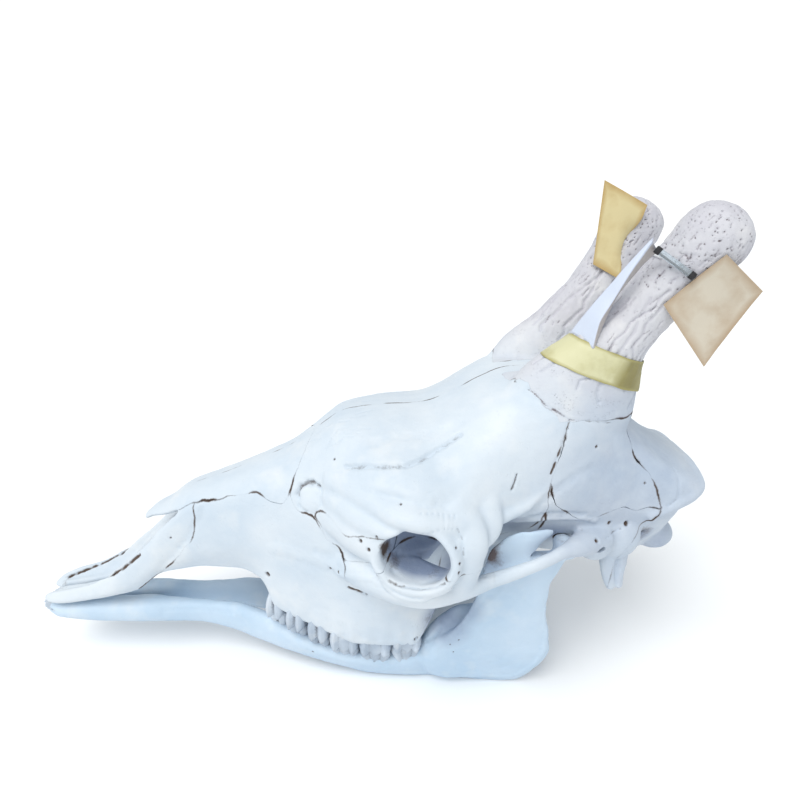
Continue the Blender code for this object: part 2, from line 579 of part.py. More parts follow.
def part_by_outline(thing, name, outline, low, high, collection, flat="xz"):
    """Parts off what lies inside an outline between two depths."""
    inside = block(outline, low, high, collection, flat)
    near = (lambda y: low(y) - GAP) if callable(low) else low - GAP
    far = (lambda y: high(y) + GAP) if callable(high) else high + GAP
    grown = block(outward(outline, GAP), near, far, collection, flat)
    return part_off(thing, name, inside, grown)


def eased(thing):
    """Fewer triangles where the skin is as good as flat, and plain ones everywhere."""
    bm = bmesh.new()
    bm.from_mesh(thing.data)
    bmesh.ops.dissolve_limit(bm, angle_limit=math.radians(EASE_ANGLE), verts=bm.verts,
                             edges=bm.edges)
    bmesh.ops.triangulate(bm, faces=bm.faces)
    bm.to_mesh(thing.data)
    bm.free()
    return thing


def sided(low, high, side):
    """A depth range on one side of the head, lowest first."""
    return (low, high) if side > 0 else (-high, -low)


def halves(thing, stem, collection):
    """Parts a bone along the middle of the head."""
    right = new_object(stem + "_right", thing.data.copy(), thing.users_collection[0])
    box = [(-60, -60), (700, -60), (700, 520), (-60, 520)]
    for piece, side in ((thing, 1), (right, -1)):
        # The cutter takes the other side of the head away.
        low, high = sided(-GAP / 2, WIDE, side)
        cut_away(piece, [block(box, low, high, collection)])
        largest_body(piece)
    thing.name = stem + "_left"
    return thing, right


def tooth_lobe(x0, x1, gum_z, tip_z, outer, depth, side, collection, seed):
    """One lobe of a cheek tooth: a tapered post with a rib down its outer face."""
    wear = 0.5 + 0.5 * math.sin(seed * 2.4)
    mid, half = 0.5 * (x0 + x1), 0.5 * (x1 - x0)
    rings = []
    for level, swell in ((gum_z, 0.86), (0.4 * gum_z + 0.6 * tip_z, 1.0), (tip_z, 0.90)):
        ring = []
        for along_x, across in ((-1.0, 0.35), (-0.8, 0.0), (0.8, 0.0), (1.0, 0.35),
                                (0.7, 1.0), (-0.7, 1.0)):
            worn = 1.6 * wear * abs(along_x) if level == tip_z else 0
            ring.append((mid + along_x * half * swell, (outer - across * depth) * side,
                         level + (worn if tip_z < gum_z else -worn)))
        rings.append(ring)
    return loft("lobe", rings, collection)


def cheek_teeth(side, upper, collection):
    """The six cheek teeth of one side, upper or lower, sunk in the bone by their roots."""
    half, gum, tip = smooth_line(ROW_HALF), smooth_line(ROW_GUM_Z), smooth_line(ROW_TIP_Z)
    lower_half = smooth_line(LOWER_HALF)
    jaw_top = smooth_line(JAW_TOP)
    ends = TOOTH_STARTS[1:] + [TOOTH_ROW_END]
    lobes = []
    for number, (start, end, count) in enumerate(zip(TOOTH_STARTS, ends, TOOTH_LOBES)):
        width = (end - start - 1.0) / count
        for k in range(count):
            x0 = start + 0.5 + k * width
            x1 = x0 + width - 0.15
            mid = 0.5 * (x0 + x1)
            if upper:
                lobes.append(tooth_lobe(x0, x1, gum(mid) + TOOTH_ROOT, tip(mid), half(mid) + 1,
                                        UPPER_DEPTH, side, collection, number * 3 + k))
            else:
                lobes.append(tooth_lobe(x0, x1, jaw_top(mid) - TOOTH_ROOT, tip(mid) - BITE_GAP,
                                        lower_half(mid), LOWER_DEPTH, side, collection,
                                        number * 3 + k + 20))
    return lobes


def incisors(side, collection):
    """Small spade-shaped front teeth in an arc at the tip of the lower jaw."""
    teeth = []
    for k in range(INCISOR["count"]):
        angle = math.radians(INCISOR["first"] + INCISOR["between"] * k)
        out = Vector((-math.cos(angle), math.sin(angle) * side, 0))
        across = Vector((math.sin(angle), math.cos(angle) * side, 0))
        root = Vector((INCISOR["x"] + out.x * INCISOR["along"],
                       out.y * INCISOR["aside"] + INCISOR["spread"] * side, INCISOR["z"]))
        tip = root + out * (INCISOR["length"] - k) + Vector((0, 0, INCISOR["rise"] - 0.5 * k))
        rings = []
        for t, wide, thick in INCISOR_RINGS:
            centre = root.lerp(tip, t)
            rings.append([centre + across * (wide * a) + Vector((0, 0, thick * b))
                          for a, b in ((-1, -0.5), (0, -1), (1, -0.5), (1, 0.5), (0, 1),
                                       (-1, 0.5))])
        teeth.append(loft("incisor", rings, collection))
    return teeth


def with_teeth(bone, teeth, collection):
    """Fuses teeth into a bone with one union."""
    group = bpy.data.collections.new("teeth")
    bpy.context.scene.collection.children.link(group)
    for tooth in teeth:
        collection.objects.unlink(tooth)
        group.objects.link(tooth)
    union = bone.modifiers.new("teeth", "BOOLEAN")
    union.operation = "UNION"
    union.operand_type = "COLLECTION"
    union.collection = group
    union.solver = "EXACT"
    applied(bone)
    for tooth in list(group.objects):
        bpy.data.objects.remove(tooth)
    bpy.data.collections.remove(group)
    return largest_body(bone)


def inflated(thing, distance, collection):
    """A copy of a body with its skin moved outwards."""
    copy = new_object(thing.name + "_swollen", thing.data.copy(), collection)
    swell = copy.modifiers.new("swell", "DISPLACE")
    swell.mid_level = 0.0
    swell.strength = distance * MM
    return applied(copy)


def sheet(name, rows, thick, collection):
    """A thin sheet through rows of points, thickened to both sides."""
    bm = bmesh.new()
    made = [[bm.verts.new(place(p)) for p in row] for row in rows]
    for lower, upper in zip(made, made[1:]):
        for i in range(len(lower) - 1):
            bm.faces.new((lower[i], lower[i + 1], upper[i + 1]))
            bm.faces.new((lower[i], upper[i + 1], upper[i]))
    mesh = bpy.data.meshes.new(name)
    bm.to_mesh(mesh)
    bm.free()
    thing = new_object(name, mesh, collection)
    wall = thing.modifiers.new("thickness", "SOLIDIFY")
    wall.thickness = thick * MM
    wall.offset = 0.0
    return applied(thing)


def card(name, spec, collection, steps=6):
    """A square-cut card with a slight bow across it."""
    a, b, c, d = (Vector(p) for p in spec["corners"])
    normal = (b - a).cross(d - a).normalized()
    rows = []
    for i in range(steps + 1):
        v = i / steps
        row = []
        for k in range(steps + 1):
            u = k / steps
            flat = a.lerp(b, u).lerp(d.lerp(c, u), v)
            row.append(flat + normal * (spec["bow"] * math.sin(math.pi * u)))
        rows.append(row)
    return sheet(name, rows, spec["thick"], collection)


def slab(at, slope, width, side, collection):
    """A thin board square to a horn, leaning back with it."""
    turn = math.radians(slope)
    run = Vector((math.cos(turn), math.sin(turn)))
    rise = Vector((-run.y, run.x))
    middle = Vector(at)
    corners = [middle + run * (70 * a) + rise * (0.5 * width * b)
               for a, b in ((-1, -1), (1, -1), (1, 1), (-1, 1))]
    low, high = sided(2, 130, side)
    return block([tuple(p) for p in corners], low, high, collection)


def ring_round(name, horn, at, slope, width, thick, collection):
    """A band of even thickness round a horn, just clear of it."""
    ring = inflated(horn, GAP + thick, collection)
    ring.name = name
    board = slab(at, slope, width, -1, collection)
    boolean(ring, board, "INTERSECT")
    bpy.data.objects.remove(board)
    cut_away(ring, [inflated(horn, GAP, collection)])
    return largest_body(ring)


def glass_tube(spec, collection):
    """A straight tube between two points, as a bevelled curve turned into a mesh."""
    curve = bpy.data.curves.new("tube", "CURVE")
    curve.dimensions = "3D"
    curve.bevel_depth = spec["radius"] * MM
    curve.bevel_resolution = 2
    curve.use_fill_caps = True
    line = curve.splines.new("POLY")
    line.points.add(1)
    for point, end in zip(line.points, (spec["front"], spec["back"])):
        point.co = (*place(end), 1.0)
    drawn = new_object("tube_curve", curve, collection)
    depsgraph = bpy.context.evaluated_depsgraph_get()
    mesh = bpy.data.meshes.new_from_object(drawn.evaluated_get(depsgraph))
    bpy.data.objects.remove(drawn)
    bm = bmesh.new()
    bm.from_mesh(mesh)
    bmesh.ops.remove_doubles(bm, verts=bm.verts, dist=1e-6)
    bmesh.ops.recalc_face_normals(bm, faces=bm.faces)
    bm.to_mesh(mesh)
    bm.free()
    return new_object("tube", mesh, collection)


def cranium_body(collection):
    """The whole cranium as one skin, with its hollows, before it is parted."""
    pieces = [core_body(collection), nasal_body(collection),
              oval_path("vomer", VOMER, 1, collection)]
    for side in (-1, 1):
        pieces += [premaxilla_body(side, collection), socket_rim(side, collection)]
        for name, rows in (("arch", ARCH), ("crest", CREST), ("nuchal", NUCHAL), ("wing", WING),
                           ("palate_bar", PALATE_BAR), ("cheekbone", CHEEKBONE),
                           ("tear_side", TEAR_SIDE), ("brow_side", BROW_SIDE), ("shelf", SHELF)):
            pieces.append(oval_path(name, rows, side, collection, steps=BAR_STEPS))
        for name, rows in (("eye_bar", EYE_BAR), ("eye_plate", EYE_PLATE),
                           ("behind_ear", BEHIND_EAR), ("horn", HORN)):
            pieces.append(oval_path(name, rows, side, collection, steps=BAR_STEPS,
                                    sides=POST_SIDES, reference=(1, 0, 0)))
        for spec in (CONDYLE, EAR_BULB, EAR_LUMP, MASTOID):
            pieces.append(ball("knob", (spec["x"], spec["y"] * side, spec["z"]), spec["size"],
                               collection))
    whole = fused(join("cranium", pieces, collection), VOXEL_ROUGH)

    hollows = [oval_path("nose", NOSE_HOLLOW, 1, collection, steps=16),
               oval_path("throat", THROAT_HOLLOW, 1, collection, steps=12),
               oval_path("spine", [(SPINE_HOLE["front"], 0, SPINE_HOLE["z"], SPINE_HOLE["radius"],
                                    SPINE_HOLE["radius"]),
                                   (SPINE_HOLE["back"], 0, SPINE_HOLE["z"], SPINE_HOLE["radius"],
                                    SPINE_HOLE["radius"])], 1, collection, steps=3)]
    for side in (-1, 1):
        centre = Vector((SOCKET["x"], SOCKET["y"] * side, SOCKET["z"]))
        size = (SOCKET["half_length"] - 3, SOCKET["depth"], SOCKET["half_height"] - 3)
        hollows.append(ball("socket", centre, size, collection, socket_turn(side)))
        ear = [(EAR_HOLE["x"], EAR_HOLE["deep"], EAR_HOLE["z"], EAR_HOLE["radius"],
                EAR_HOLE["radius"]),
               (EAR_HOLE["x"], EAR_HOLE["out"], EAR_HOLE["z"], EAR_HOLE["radius"],
                EAR_HOLE["radius"])]
        hollows.append(oval_path("ear", ear, side, collection, steps=3))
    cut_away(whole, hollows)
    fused(whole, VOXEL_FINE, soften=4)
    return thinned(largest_body(whole), CRANIUM_FACES)


def knob(side, grow, collection):
    """The hinge knuckle of the lower jaw, or the hollow that holds it."""
    size = [s + grow for s in JAW_KNOB["size"]]
    centre = (JAW_KNOB["x"], JAW_KNOB["y"] * side, JAW_KNOB["z"])
    return ball("knob", centre, size, collection, rings=7)


def jaw_body(side, collection):
    """One half of the lower jaw without its teeth."""
    y_low, y_top, half, low, top = (smooth_line(s) for s in (JAW_Y_LOW, JAW_Y_TOP, JAW_HALF,
                                                             JAW_LOW, JAW_TOP))
    rings = []
    for x in np.linspace(JAW_LOW[0][0], JAW_LOW[-1][0], JAW_STEPS):
        yl, yt, h, zl, zt = y_low(x), y_top(x), half(x), low(x), top(x)
        tall = zt - zl
        ring = [(yl, zl), (yl + 0.8 * h, zl + 0.14 * tall), (0.5 * (yl + yt) + h, zl + 0.5 * tall),
                (yt + 0.8 * h, zt - 0.14 * tall), (yt, zt), (yt - 0.8 * h, zt - 0.14 * tall),
                (0.5 * (yl + yt) - h, zl + 0.5 * tall), (yl - 0.8 * h, zl + 0.14 * tall)]
        rings.append([(x, y * side, z) for y, z in closed_curve(ring, JAW_SIDES)])
    horizontal = loft("jaw", rings, collection)
    rings = []
    for z, front, back, y in along_levels(RAMUS, RAMUS_STEPS):
        ring = [(front, y), (front + 14, y - RAMUS_HALF), (0.5 * (front + back), y - RAMUS_HALF),
                (back - 8, y - RAMUS_HALF), (back, y), (back - 8, y + RAMUS_HALF),
                (0.5 * (front + back), y + RAMUS_HALF), (front + 14, y + RAMUS_HALF)]
        rings.append([(x, y * side, z) for x, y in closed_curve(ring, RAMUS_SIDES)])
    upright = loft("ramus", rings, collection)
    hook = oval_path("coronoid", CORONOID, side, collection, steps=12, reference=(1, 0, 0))
    hook_tip = oval_path("coronoid_tip", CORONOID_TIP, side, collection, steps=10)
    whole = join("jaw", [horizontal, upright, hook, hook_tip], collection)
    fused(whole, VOXEL_FINE, soften=3)
    return thinned(largest_body(whole), JAW_FACES)


def along_levels(rows, steps):
    """Rows of numbers interpolated smoothly against their first number."""
    lines = [smooth_line([(row[0], row[c]) for row in rows]) for c in range(1, len(rows[0]))]
    return [[z] + [line(z) for line in lines]
            for z in np.linspace(rows[0][0], rows[-1][0], steps)]


def lower_jaw(side, collection):
    """One finished half of the lower jaw, flat where it rests on the floor."""
    bone = jaw_body(side, collection)
    bone.name = "mandible_left" if side < 0 else "mandible_right"
    floor = block([(-80, -60), (760, -60), (760, 0), (-80, 0)], -WIDE, WIDE, collection)
    box = [(-80, -60), (760, -60), (760, 520), (-80, 520)]
    middle = block(box, *sided(-WIDE, GAP / 2, side), collection)
    cut_away(bone, [floor, middle])
    teeth = cheek_teeth(side, False, collection) + incisors(side, collection)
    return with_teeth(bone, teeth + [knob(side, 0.0, collection)], collection)


def bones_of(whole, collection):
    """Parts the cranium into its bones along its seams."""
    bones = []
    for side, end in ((-1, "_left"), (1, "_right")):
        outline = [(x, y * side) for x, y in HORN_SEAM]
        floor_line = smooth_line(HORN_SEAM_Z)
        bones.append(part_by_outline(whole, "horn" + end, outline, lambda y: floor_line(abs(y)),
                                     520, collection, flat="xy"))
    nasal = part_by_outline(whole, "nasal", NASAL_SEAM + [(60, 275)], -WIDE, WIDE, collection)
    bones += halves(nasal, "nasal", collection)
    front = part_by_outline(whole, "premaxilla", PREMAX_SEAM + [(-40, 60), (-40, 230)], -WIDE,
                            WIDE, collection)
    bones += halves(front, "premaxilla", collection)
    face = part_by_outline(whole, "maxilla", FACE_SEAM + [(404, 30), (60, 30), (60, 275)], -WIDE,
                           WIDE, collection)
    maxillae = halves(face, "maxilla", collection)
    for bone, side in zip(maxillae, (-1, 1)):
        bones.append(with_teeth(bone, cheek_teeth(side, True, collection), collection))
    crown = part_by_outline(whole, "parietal", CROWN_SEAM + SCALE_SEAM[1:] + NAPE_SEAM[1:],
                            -WIDE, WIDE, collection)
    bones.append(crown)
    back = part_by_outline(whole, "occipital", list(reversed(NAPE_SEAM[1:])) + BACK_SEAM
                           + [(542, 60), (700, 60), (700, 345)], -WIDE, WIDE, collection)
    bones.append(back)
    for side, end in ((-1, "_left"), (1, "_right")):
        cutters = []
        for grow in (0.0, GAP):
            wall = block(outward(TEMPLE_BLOCK, grow),
                         *sided(TEMPLE_DEPTH - grow, WIDE + grow, side), collection)
            arch = block(outward(ARCH_BLOCK, grow),
                         *sided(ARCH_DEPTH - grow, WIDE + 2 + grow, side), collection)
            boolean(wall, arch, "UNION")
            bpy.data.objects.remove(arch)
            cutters.append(wall)
        bones.append(part_off(whole, "temporal" + end, *cutters))
        bones.append(part_by_outline(whole, "zygomatic" + end, CHEEK_BLOCK,
                                     *sided(CHEEK_DEPTH, WIDE, side), collection))
        bones.append(part_by_outline(whole, "lacrimal" + end, TEAR_BLOCK,
                                     *sided(TEAR_DEPTH, WIDE, side), collection))
    bones.append(part_by_outline(whole, "sphenoid", BASE_BLOCK, -WIDE, WIDE, collection))
    largest_body(whole)
    bones += halves(whole, "frontal", collection)
    return bones


def painted(thing, colour, rough):
    material = bpy.data.materials.new(thing.name)
    material.use_nodes = True
    shader = material.node_tree.nodes["Principled BSDF"]
    shader.inputs["Base Color"].default_value = (*COLOURS[colour], 1.0)
    shader.inputs["Roughness"].default_value = rough
    shader.inputs["Metallic"].default_value = 0.0
    thing.data.materials.clear()
    thing.data.materials.append(material)


def finish(thing):
    """Even shading with sharp edges only at the cuts."""
    thing.data.shade_smooth()
    thing.data.set_sharp_from_angle(angle=math.radians(50))


def worn_things(left_horn, right_horn, collection):
    """The paper band, the tie with its tube, the cards and the folded slip."""
    low, high = Vector(BAND["low"]), Vector(BAND["high"])
    band = ring_round("paper_band", left_horn, tuple((low + high) / 2), BAND["slope"],
                      (high - low).length, BAND["thick"], collection)
    tie = ring_round("tie", left_horn, TIE["at"], TIE["slope"], TIE["width"], TIE["thick"],
                     collection)
    tie = with_teeth(tie, [glass_tube(TUBE, collection)], collection)
    largest_body(cut_away(tie, [inflated(left_horn, GAP, collection)]))
    beige = card("tag_beige", BEIGE_TAG, collection)
    cut_away(beige, [inflated(left_horn, GAP, collection), inflated(tie, GAP, collection)])
    yellow = card("tag_yellow", YELLOW_TAG, collection)
    cut_away(yellow, [inflated(right_horn, GAP, collection)])
    slip = sheet("paper_slip", SLIP_ROWS, SLIP_THICK, collection)
    cut_away(slip, [inflated(left_horn, GAP, collection), inflated(tie, GAP, collection),
                    inflated(band, GAP, collection)])
    for thing in (beige, yellow, slip):
        largest_body(thing)
    painted(band, "tape", 0.55)
    painted(tie, "tube", 0.2)
    painted(beige, "beige card", 0.8)
    painted(yellow, "yellow card", 0.75)
    painted(slip, "blue paper", 0.7)
    return [band, tie, beige, yellow, slip]


def build():
    for old in list(bpy.data.objects):
        bpy.data.objects.remove(old)
    collection = bpy.data.collections.new("giraffe_skull")
    bpy.context.scene.collection.children.link(collection)

    bones = bones_of(cranium_body(collection), collection)
    jaws = [lower_jaw(side, collection) for side in (-1, 1)]
    for bone in bones:
        if bone.name.startswith("temporal"):
            side = -1 if bone.name.endswith("_left") else 1
            cut_away(bone, [knob(side, GAP, collection)])
            largest_body(bone)
    horns = [bone for bone in bones if bone.name.startswith("horn")]
    for bone in bones:
        painted(eased(bone), "horn" if bone in horns else "bone", 0.6)
    for jaw in jaws:
        painted(eased(jaw), "jaw", 0.6)
    things = bones + jaws + worn_things(*horns, collection)
    for thing in things:
        finish(thing)
    print("made", len(things), "objects,",
          sum(sum(len(p.vertices) - 2 for p in t.data.polygons) for t in things), "triangles")


build()
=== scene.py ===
# Giraffe skull with its lower jaw, as it lies in a museum: bones, teeth, tape and paper tags
import math
from itertools import product

import bpy
import bmesh
import numpy as np
from mathutils import Matrix, Vector
from mathutils.bvhtree import BVHTree
from mathutils.kdtree import KDTree


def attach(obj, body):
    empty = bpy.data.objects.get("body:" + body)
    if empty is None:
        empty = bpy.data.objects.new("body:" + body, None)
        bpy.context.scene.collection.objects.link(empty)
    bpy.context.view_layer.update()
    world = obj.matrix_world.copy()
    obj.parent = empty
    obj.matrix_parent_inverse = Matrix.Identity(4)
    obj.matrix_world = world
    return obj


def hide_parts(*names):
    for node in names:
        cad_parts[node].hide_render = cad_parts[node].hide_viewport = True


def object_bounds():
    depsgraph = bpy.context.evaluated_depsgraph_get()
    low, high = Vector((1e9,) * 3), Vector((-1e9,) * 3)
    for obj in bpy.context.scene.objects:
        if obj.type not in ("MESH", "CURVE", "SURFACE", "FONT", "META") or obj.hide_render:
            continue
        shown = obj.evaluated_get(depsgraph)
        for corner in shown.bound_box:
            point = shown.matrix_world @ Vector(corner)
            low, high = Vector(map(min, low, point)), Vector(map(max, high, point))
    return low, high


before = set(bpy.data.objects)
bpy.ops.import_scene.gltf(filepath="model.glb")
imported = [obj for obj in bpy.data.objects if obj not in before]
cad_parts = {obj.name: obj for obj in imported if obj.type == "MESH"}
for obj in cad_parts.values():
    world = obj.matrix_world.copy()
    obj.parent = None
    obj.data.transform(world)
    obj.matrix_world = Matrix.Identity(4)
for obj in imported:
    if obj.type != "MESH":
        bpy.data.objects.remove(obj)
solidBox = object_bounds()
print("frame loaded with", len(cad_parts), "nodes")

# All tables are in millimetres, x from the front of the snout, z from the floor. A bar's row
# is (x, distance from the middle plane, z, half height, half thickness).
mm = 0.001
skull = dict(middle=311.5, wide=160.0, roughVoxel=2.0, fineVoxel=1.25, soften=13, jawSoften=8,
             floorGap=0.02)
origin = np.array([skull["middle"], 0, 0])
ends = ((-1, "Left"), (1, "Right"))


# Small tools for lines and meshes

def smoothLine(stops):
    xs = np.array([stop[0] for stop in stops], float)
    ys = np.array([stop[1] for stop in stops], float)
    steps = np.diff(xs)
    rises = np.diff(ys) / steps
    slopes = np.zeros(len(xs))
    for i in range(1, len(xs) - 1):
        if rises[i - 1] * rises[i] > 0:
            slopes[i] = 2 * rises[i - 1] * rises[i] / (rises[i - 1] + rises[i])
    slopes[0], slopes[-1] = rises[0], rises[-1]

    def value(x):
        x = np.clip(x, xs[0], xs[-1])
        i = np.clip(np.searchsorted(xs, x, side="right") - 1, 0, len(steps) - 1)
        t = (x - xs[i]) / steps[i]
        start = (1 + 2 * t) * (1 - t) ** 2 * ys[i] + t * (1 - t) ** 2 * steps[i] * slopes[i]
        end = t * t * (3 - 2 * t) * ys[i + 1] + t * t * (t - 1) * steps[i] * slopes[i + 1]
        return start + end

    return value


def closedCurve(points, count):
    points = np.array(points, float)
    total = len(points)
    u = np.arange(count) * total / count
    i = u.astype(int)
    t = (u - i)[:, None]
    a, b, c, d = (points[(i + j - 1) % total] for j in range(4))
    return 0.5 * (2 * b + (c - a) * t + (2 * a - 5 * b + 4 * c - d) * t * t
                  + (3 * b - a - 3 * c + d) * t ** 3)


def alongRows(rows, steps):
    rows = np.array(rows, float)
    lengths = np.r_[0, np.cumsum(np.linalg.norm(np.diff(rows[:, :3], axis=0), axis=1))]
    s = np.linspace(0, lengths[-1], steps)
    return np.array([smoothLine(list(zip(lengths, rows[:, c])))(s)
                     for c in range(rows.shape[1])]).T


def softNoise(points, size, seed):  # value noise from -1 to 1
    p = np.asarray(points, float) / size + seed * 17.37
    cell = np.floor(p).astype(np.int64)
    f = p - cell
    f = f * f * (3 - 2 * f)
    total = np.zeros(len(p))
    for corner in product((0, 1), repeat=3):
        c = cell + np.array(corner)
        h = c[:, 0] * 374761393 + c[:, 1] * 668265263 + c[:, 2] * 1440662683 + seed * 69069
        h = (h ^ (h >> 13)) * 1274126177 & 0x7FFFFFFF
        h = (h ^ (h >> 15)) & 0xFFFF
        weight = np.prod(np.where(corner, f, 1 - f), axis=1)
        total += weight * (h / 32767.5 - 1)
    return total


def toWorld(points):
    return (np.asarray(points, float) - origin) * mm


def stations(rows, steps):
    return np.linspace(rows[0][0], rows[-1][0], steps)


def linesOf(table, names):
    return [smoothLine(table[name]) for name in names.split()]


def unit(vector):
    return vector / np.linalg.norm(vector)


def gridFaces(rows, columns, roundRows=False, roundColumns=False):  # the net's four-sided faces
    return [(i * columns + j, i * columns + (j + 1) % columns,
             (i + 1) % rows * columns + (j + 1) % columns, (i + 1) % rows * columns + j)
            for i in range(rows if roundRows else rows - 1)
            for j in range(columns if roundColumns else columns - 1)]


def objectOf(name, data):
    thing = bpy.data.objects.new(name, data)
    bpy.context.scene.collection.objects.link(thing)
    return thing


def bodyOf(name, bm):
    mesh = bpy.data.meshes.new(name)
    bm.to_mesh(mesh)
    bm.free()
    return objectOf(name, mesh)


def meshObject(name, points, faces):
    mesh = bpy.data.meshes.new(name)
    mesh.from_pydata(toWorld(points).tolist(), [], faces)
    return objectOf(name, mesh)


def closedBody(name, points, faces):
    thing = meshObject(name, points, faces)
    bm = bmesh.new()
    bm.from_mesh(thing.data)
    bmesh.ops.triangulate(bm, faces=[f for f in bm.faces if len(f.verts) > 4])
    bmesh.ops.recalc_face_normals(bm, faces=bm.faces)
    bm.to_mesh(thing.data)
    bm.free()
    return thing


def loft(name, rings):
    rings = np.array(rings, float)
    levels, around = rings.shape[:2]
    faces = gridFaces(levels, around, roundColumns=True)
    faces.append(tuple(range(around))[::-1])
    faces.append(tuple((levels - 1) * around + k for k in range(around)))
    return closedBody(name, rings.reshape(-1, 3), faces)


def bar(name, rows, side, steps=36, sides=26, reference=(0, 0, 1)):
    rows = alongRows(rows, steps)
    centres = [Vector((r[0], r[1] * side, r[2])) for r in rows]
    angles = np.linspace(0, 2 * math.pi, sides, endpoint=False)
    rings = []
    for i, row in enumerate(rows):
        ahead = (centres[min(i + 1, steps - 1)] - centres[max(i - 1, 0)]).normalized()
        across = ahead.cross(Vector(reference)).normalized()
        up = across.cross(ahead).normalized()
        rings.append([centres[i] + up * (math.cos(a) * row[3]) + across * (math.sin(a) * row[4])
                      for a in angles])
    return loft(name, rings)


def ball(name, centre, size, turn=None):
    bm = bmesh.new()
    bmesh.ops.create_uvsphere(bm, u_segments=48, v_segments=24, radius=1.0)
    matrix = Matrix.Diagonal((size[0] * mm, size[1] * mm, size[2] * mm, 1.0))
    if turn is not None:
        matrix = turn.to_4x4() @ matrix
    bm.transform(Matrix.Translation(Vector(toWorld(centre))) @ matrix)
    return bodyOf(name, bm)


def joined(name, things):
    bm = bmesh.new()
    for thing in things:
        bm.from_mesh(thing.data)
        bpy.data.objects.remove(thing)
    return bodyOf(name, bm)


def applied(thing):
    graph = bpy.context.evaluated_depsgraph_get()
    mesh = bpy.data.meshes.new_from_object(thing.evaluated_get(graph))
    thing.modifiers.clear()
    old = thing.data
    thing.data = mesh
    if old.users == 0:
        bpy.data.meshes.remove(old)
    return thing


def fused(thing, voxel, soften=0):
    remesh = thing.modifiers.new("fuse", "REMESH")
    remesh.mode = "VOXEL"
    remesh.voxel_size = voxel * mm
    if soften:
        smooth = thing.modifiers.new("soften", "SMOOTH")
        smooth.factor = 0.5
        smooth.iterations = soften
    return applied(thing)


def boolean(thing, other, operation):
    step = thing.modifiers.new("cut", "BOOLEAN")
    step.operation = operation
    step.solver = "MANIFOLD"
    step.object = other
    return applied(thing)


def cutAway(thing, cutters):
    for cutter in cutters:
        boolean(thing, cutter, "DIFFERENCE")
        bpy.data.objects.remove(cutter)
    return thing


def copyOf(thing, name):
    return objectOf(name, thing.data.copy())


def vertexArrays(mesh):  # places in table millimetres, and normals
    count = len(mesh.vertices)
    places = np.empty(count * 3, np.float32)
    normals = np.empty(count * 3, np.float32)
    mesh.vertices.foreach_get("co", places)
    mesh.vertex_normals.foreach_get("vector", normals)
    places = places.reshape(-1, 3).astype(float) / mm + origin
    return places, normals.reshape(-1, 3).astype(float)


def edgeArray(mesh):
    edges = np.empty(len(mesh.edges) * 2, np.int32)
    mesh.edges.foreach_get("vertices", edges)
    return edges.reshape(-1, 2)


def setPlaces(mesh, places):
    mesh.vertices.foreach_set("co", toWorld(places).astype(np.float32).ravel())
    mesh.update()


def setValues(mesh, name, values):
    layer = mesh.attributes.get(name) or mesh.attributes.new(name, "FLOAT", "POINT")
    layer.data.foreach_set("value", np.asarray(values, np.float32))


def getValues(mesh, name):
    values = np.zeros(len(mesh.vertices), np.float32)
    layer = mesh.attributes.get(name)
    if layer:
        layer.data.foreach_get("value", values)
    return values


def largestShell(thing):  # drops loose scraps left by the cuts
    mesh = thing.data
    edges = edgeArray(mesh)
    label = np.arange(len(mesh.vertices))
    while True:
        low = np.minimum(label[edges[:, 0]], label[edges[:, 1]])
        new = label.copy()
        for column in (0, 1):
            np.minimum.at(new, edges[:, column], low)
            np.minimum.at(new, label[edges[:, column]], low)
        new = new[new[new]]
        if (new == label).all():
            break
        label = new
    names, sizes = np.unique(label, return_counts=True)
    if len(names) > 1:
        keep = label == names[np.argmax(sizes)]
        bm = bmesh.new()
        bm.from_mesh(mesh)
        bmesh.ops.delete(bm, geom=[v for v, k in zip(bm.verts, keep) if not k], context="VERTS")
        bm.to_mesh(mesh)
        bm.free()
    return thing


# Bodies of the cranium

